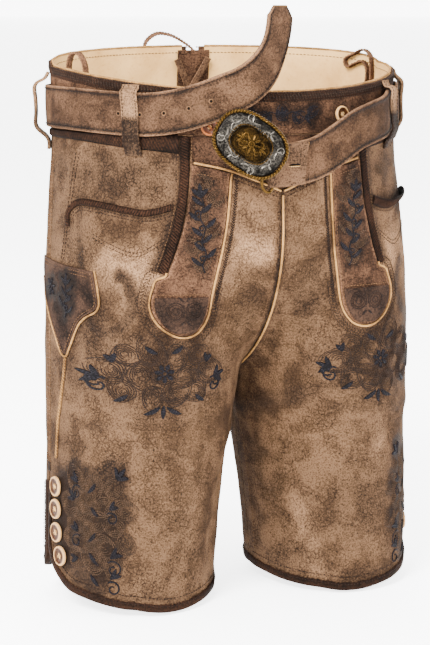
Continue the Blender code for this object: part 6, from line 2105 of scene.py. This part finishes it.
# ---------------- studio
CAMERA_TURN = radians(-22.5)
CAMERA_AWAY = 2.0
CAMERA_SIDE = -0.0178
CAMERA_HEIGHT = 0.066
CAMERA_DOWN = radians(9.08)
CAMERA_LENS = 113.9      # millimetres, on a frame 36 mm high
LAMPS = (
    # name, turn, height, away, size, power
    ("key", -48, 1.5, 2.2, 1.2, 380), ("fill", 42, 0.8, 2.4, 2.0, 80), ("top", 170, 2.2, 1.2, 1.8, 100),
)


def studio():
    ahead = Vector((-sin(CAMERA_TURN), cos(CAMERA_TURN), 0.0))
    right = Vector((cos(CAMERA_TURN), sin(CAMERA_TURN), 0.0))
    lens = bpy.data.cameras.new("camera")
    lens.sensor_fit = "VERTICAL"
    lens.sensor_height = 36.0
    lens.lens = CAMERA_LENS
    lens.clip_start, lens.clip_end = 0.05, 200.0
    camera = bpy.data.objects.new("camera", lens)
    camera.location = ahead * -CAMERA_AWAY + right * CAMERA_SIDE + Vector((0, 0, CAMERA_HEIGHT))
    look = ahead * cos(CAMERA_DOWN) + Vector((0, 0, -sin(CAMERA_DOWN)))
    camera.rotation_euler = look.to_track_quat("-Z", "Y").to_euler()
    bpy.context.scene.collection.objects.link(camera)
    bpy.context.scene.camera = camera

    mesh = bpy.data.meshes.new("floor")
    wide, low = 60.0, HEM - 0.004
    corners = [right * a + ahead * b + Vector((0, 0, level)) for level in (low, 20.0)
               for a, b in ((-wide, -wide), (wide, -wide), (wide, wide), (-wide, wide))]
    walls = [(k, (k + 1) % 4, (k + 1) % 4 + 4, k + 4) for k in range(4)]
    mesh.from_pydata(corners, [], [(0, 1, 2, 3), *walls])
    floor = bpy.data.objects.new("floor", mesh)
    paint = bpy.data.materials.new("floor_paint")
    paint.use_nodes = True
    feed(paint.node_tree, paint.node_tree.nodes["Principled BSDF"].inputs, {
        "Base Color": (0.96, 0.96, 0.96, 1), "Roughness": 0.9, "Emission Color": (1, 1, 1, 1),
        "Emission Strength": 2.8})
    mesh.materials.append(paint)
    bpy.context.scene.collection.objects.link(floor)

    for name, turn, height, away, size, power in LAMPS:
        lamp = bpy.data.lights.new(name, "AREA")
        lamp.shape, lamp.size, lamp.energy = "DISK", size, power
        made = bpy.data.objects.new(name, lamp)
        angle = radians(turn)
        made.location = (sin(angle) * away, -cos(angle) * away, height)
        aim = Vector((0, 0, -0.2)) - Vector(made.location)
        made.rotation_euler = aim.to_track_quat("-Z", "Y").to_euler()
        bpy.context.scene.collection.objects.link(made)
    world = bpy.data.worlds.new("studio")
    world.use_nodes = True
    feed(world.node_tree, world.node_tree.nodes["Background"].inputs,
         {"Color": (1, 1, 1, 1), "Strength": 3.4})
    bpy.context.scene.world = world


def main():
    make_finishes()
    studio()
    panels()
    waist_cloth()
    waist_seams()
    back_lacing()
    tongues()
    fly()
    pockets()
    knife_pocket()
    leg_needlework()
    hems()
    seams()
    buttons()
    bar, bar_way = belt()
    buckle(bar, bar_way)
    belt_loops()
    hanging_loops()


main()
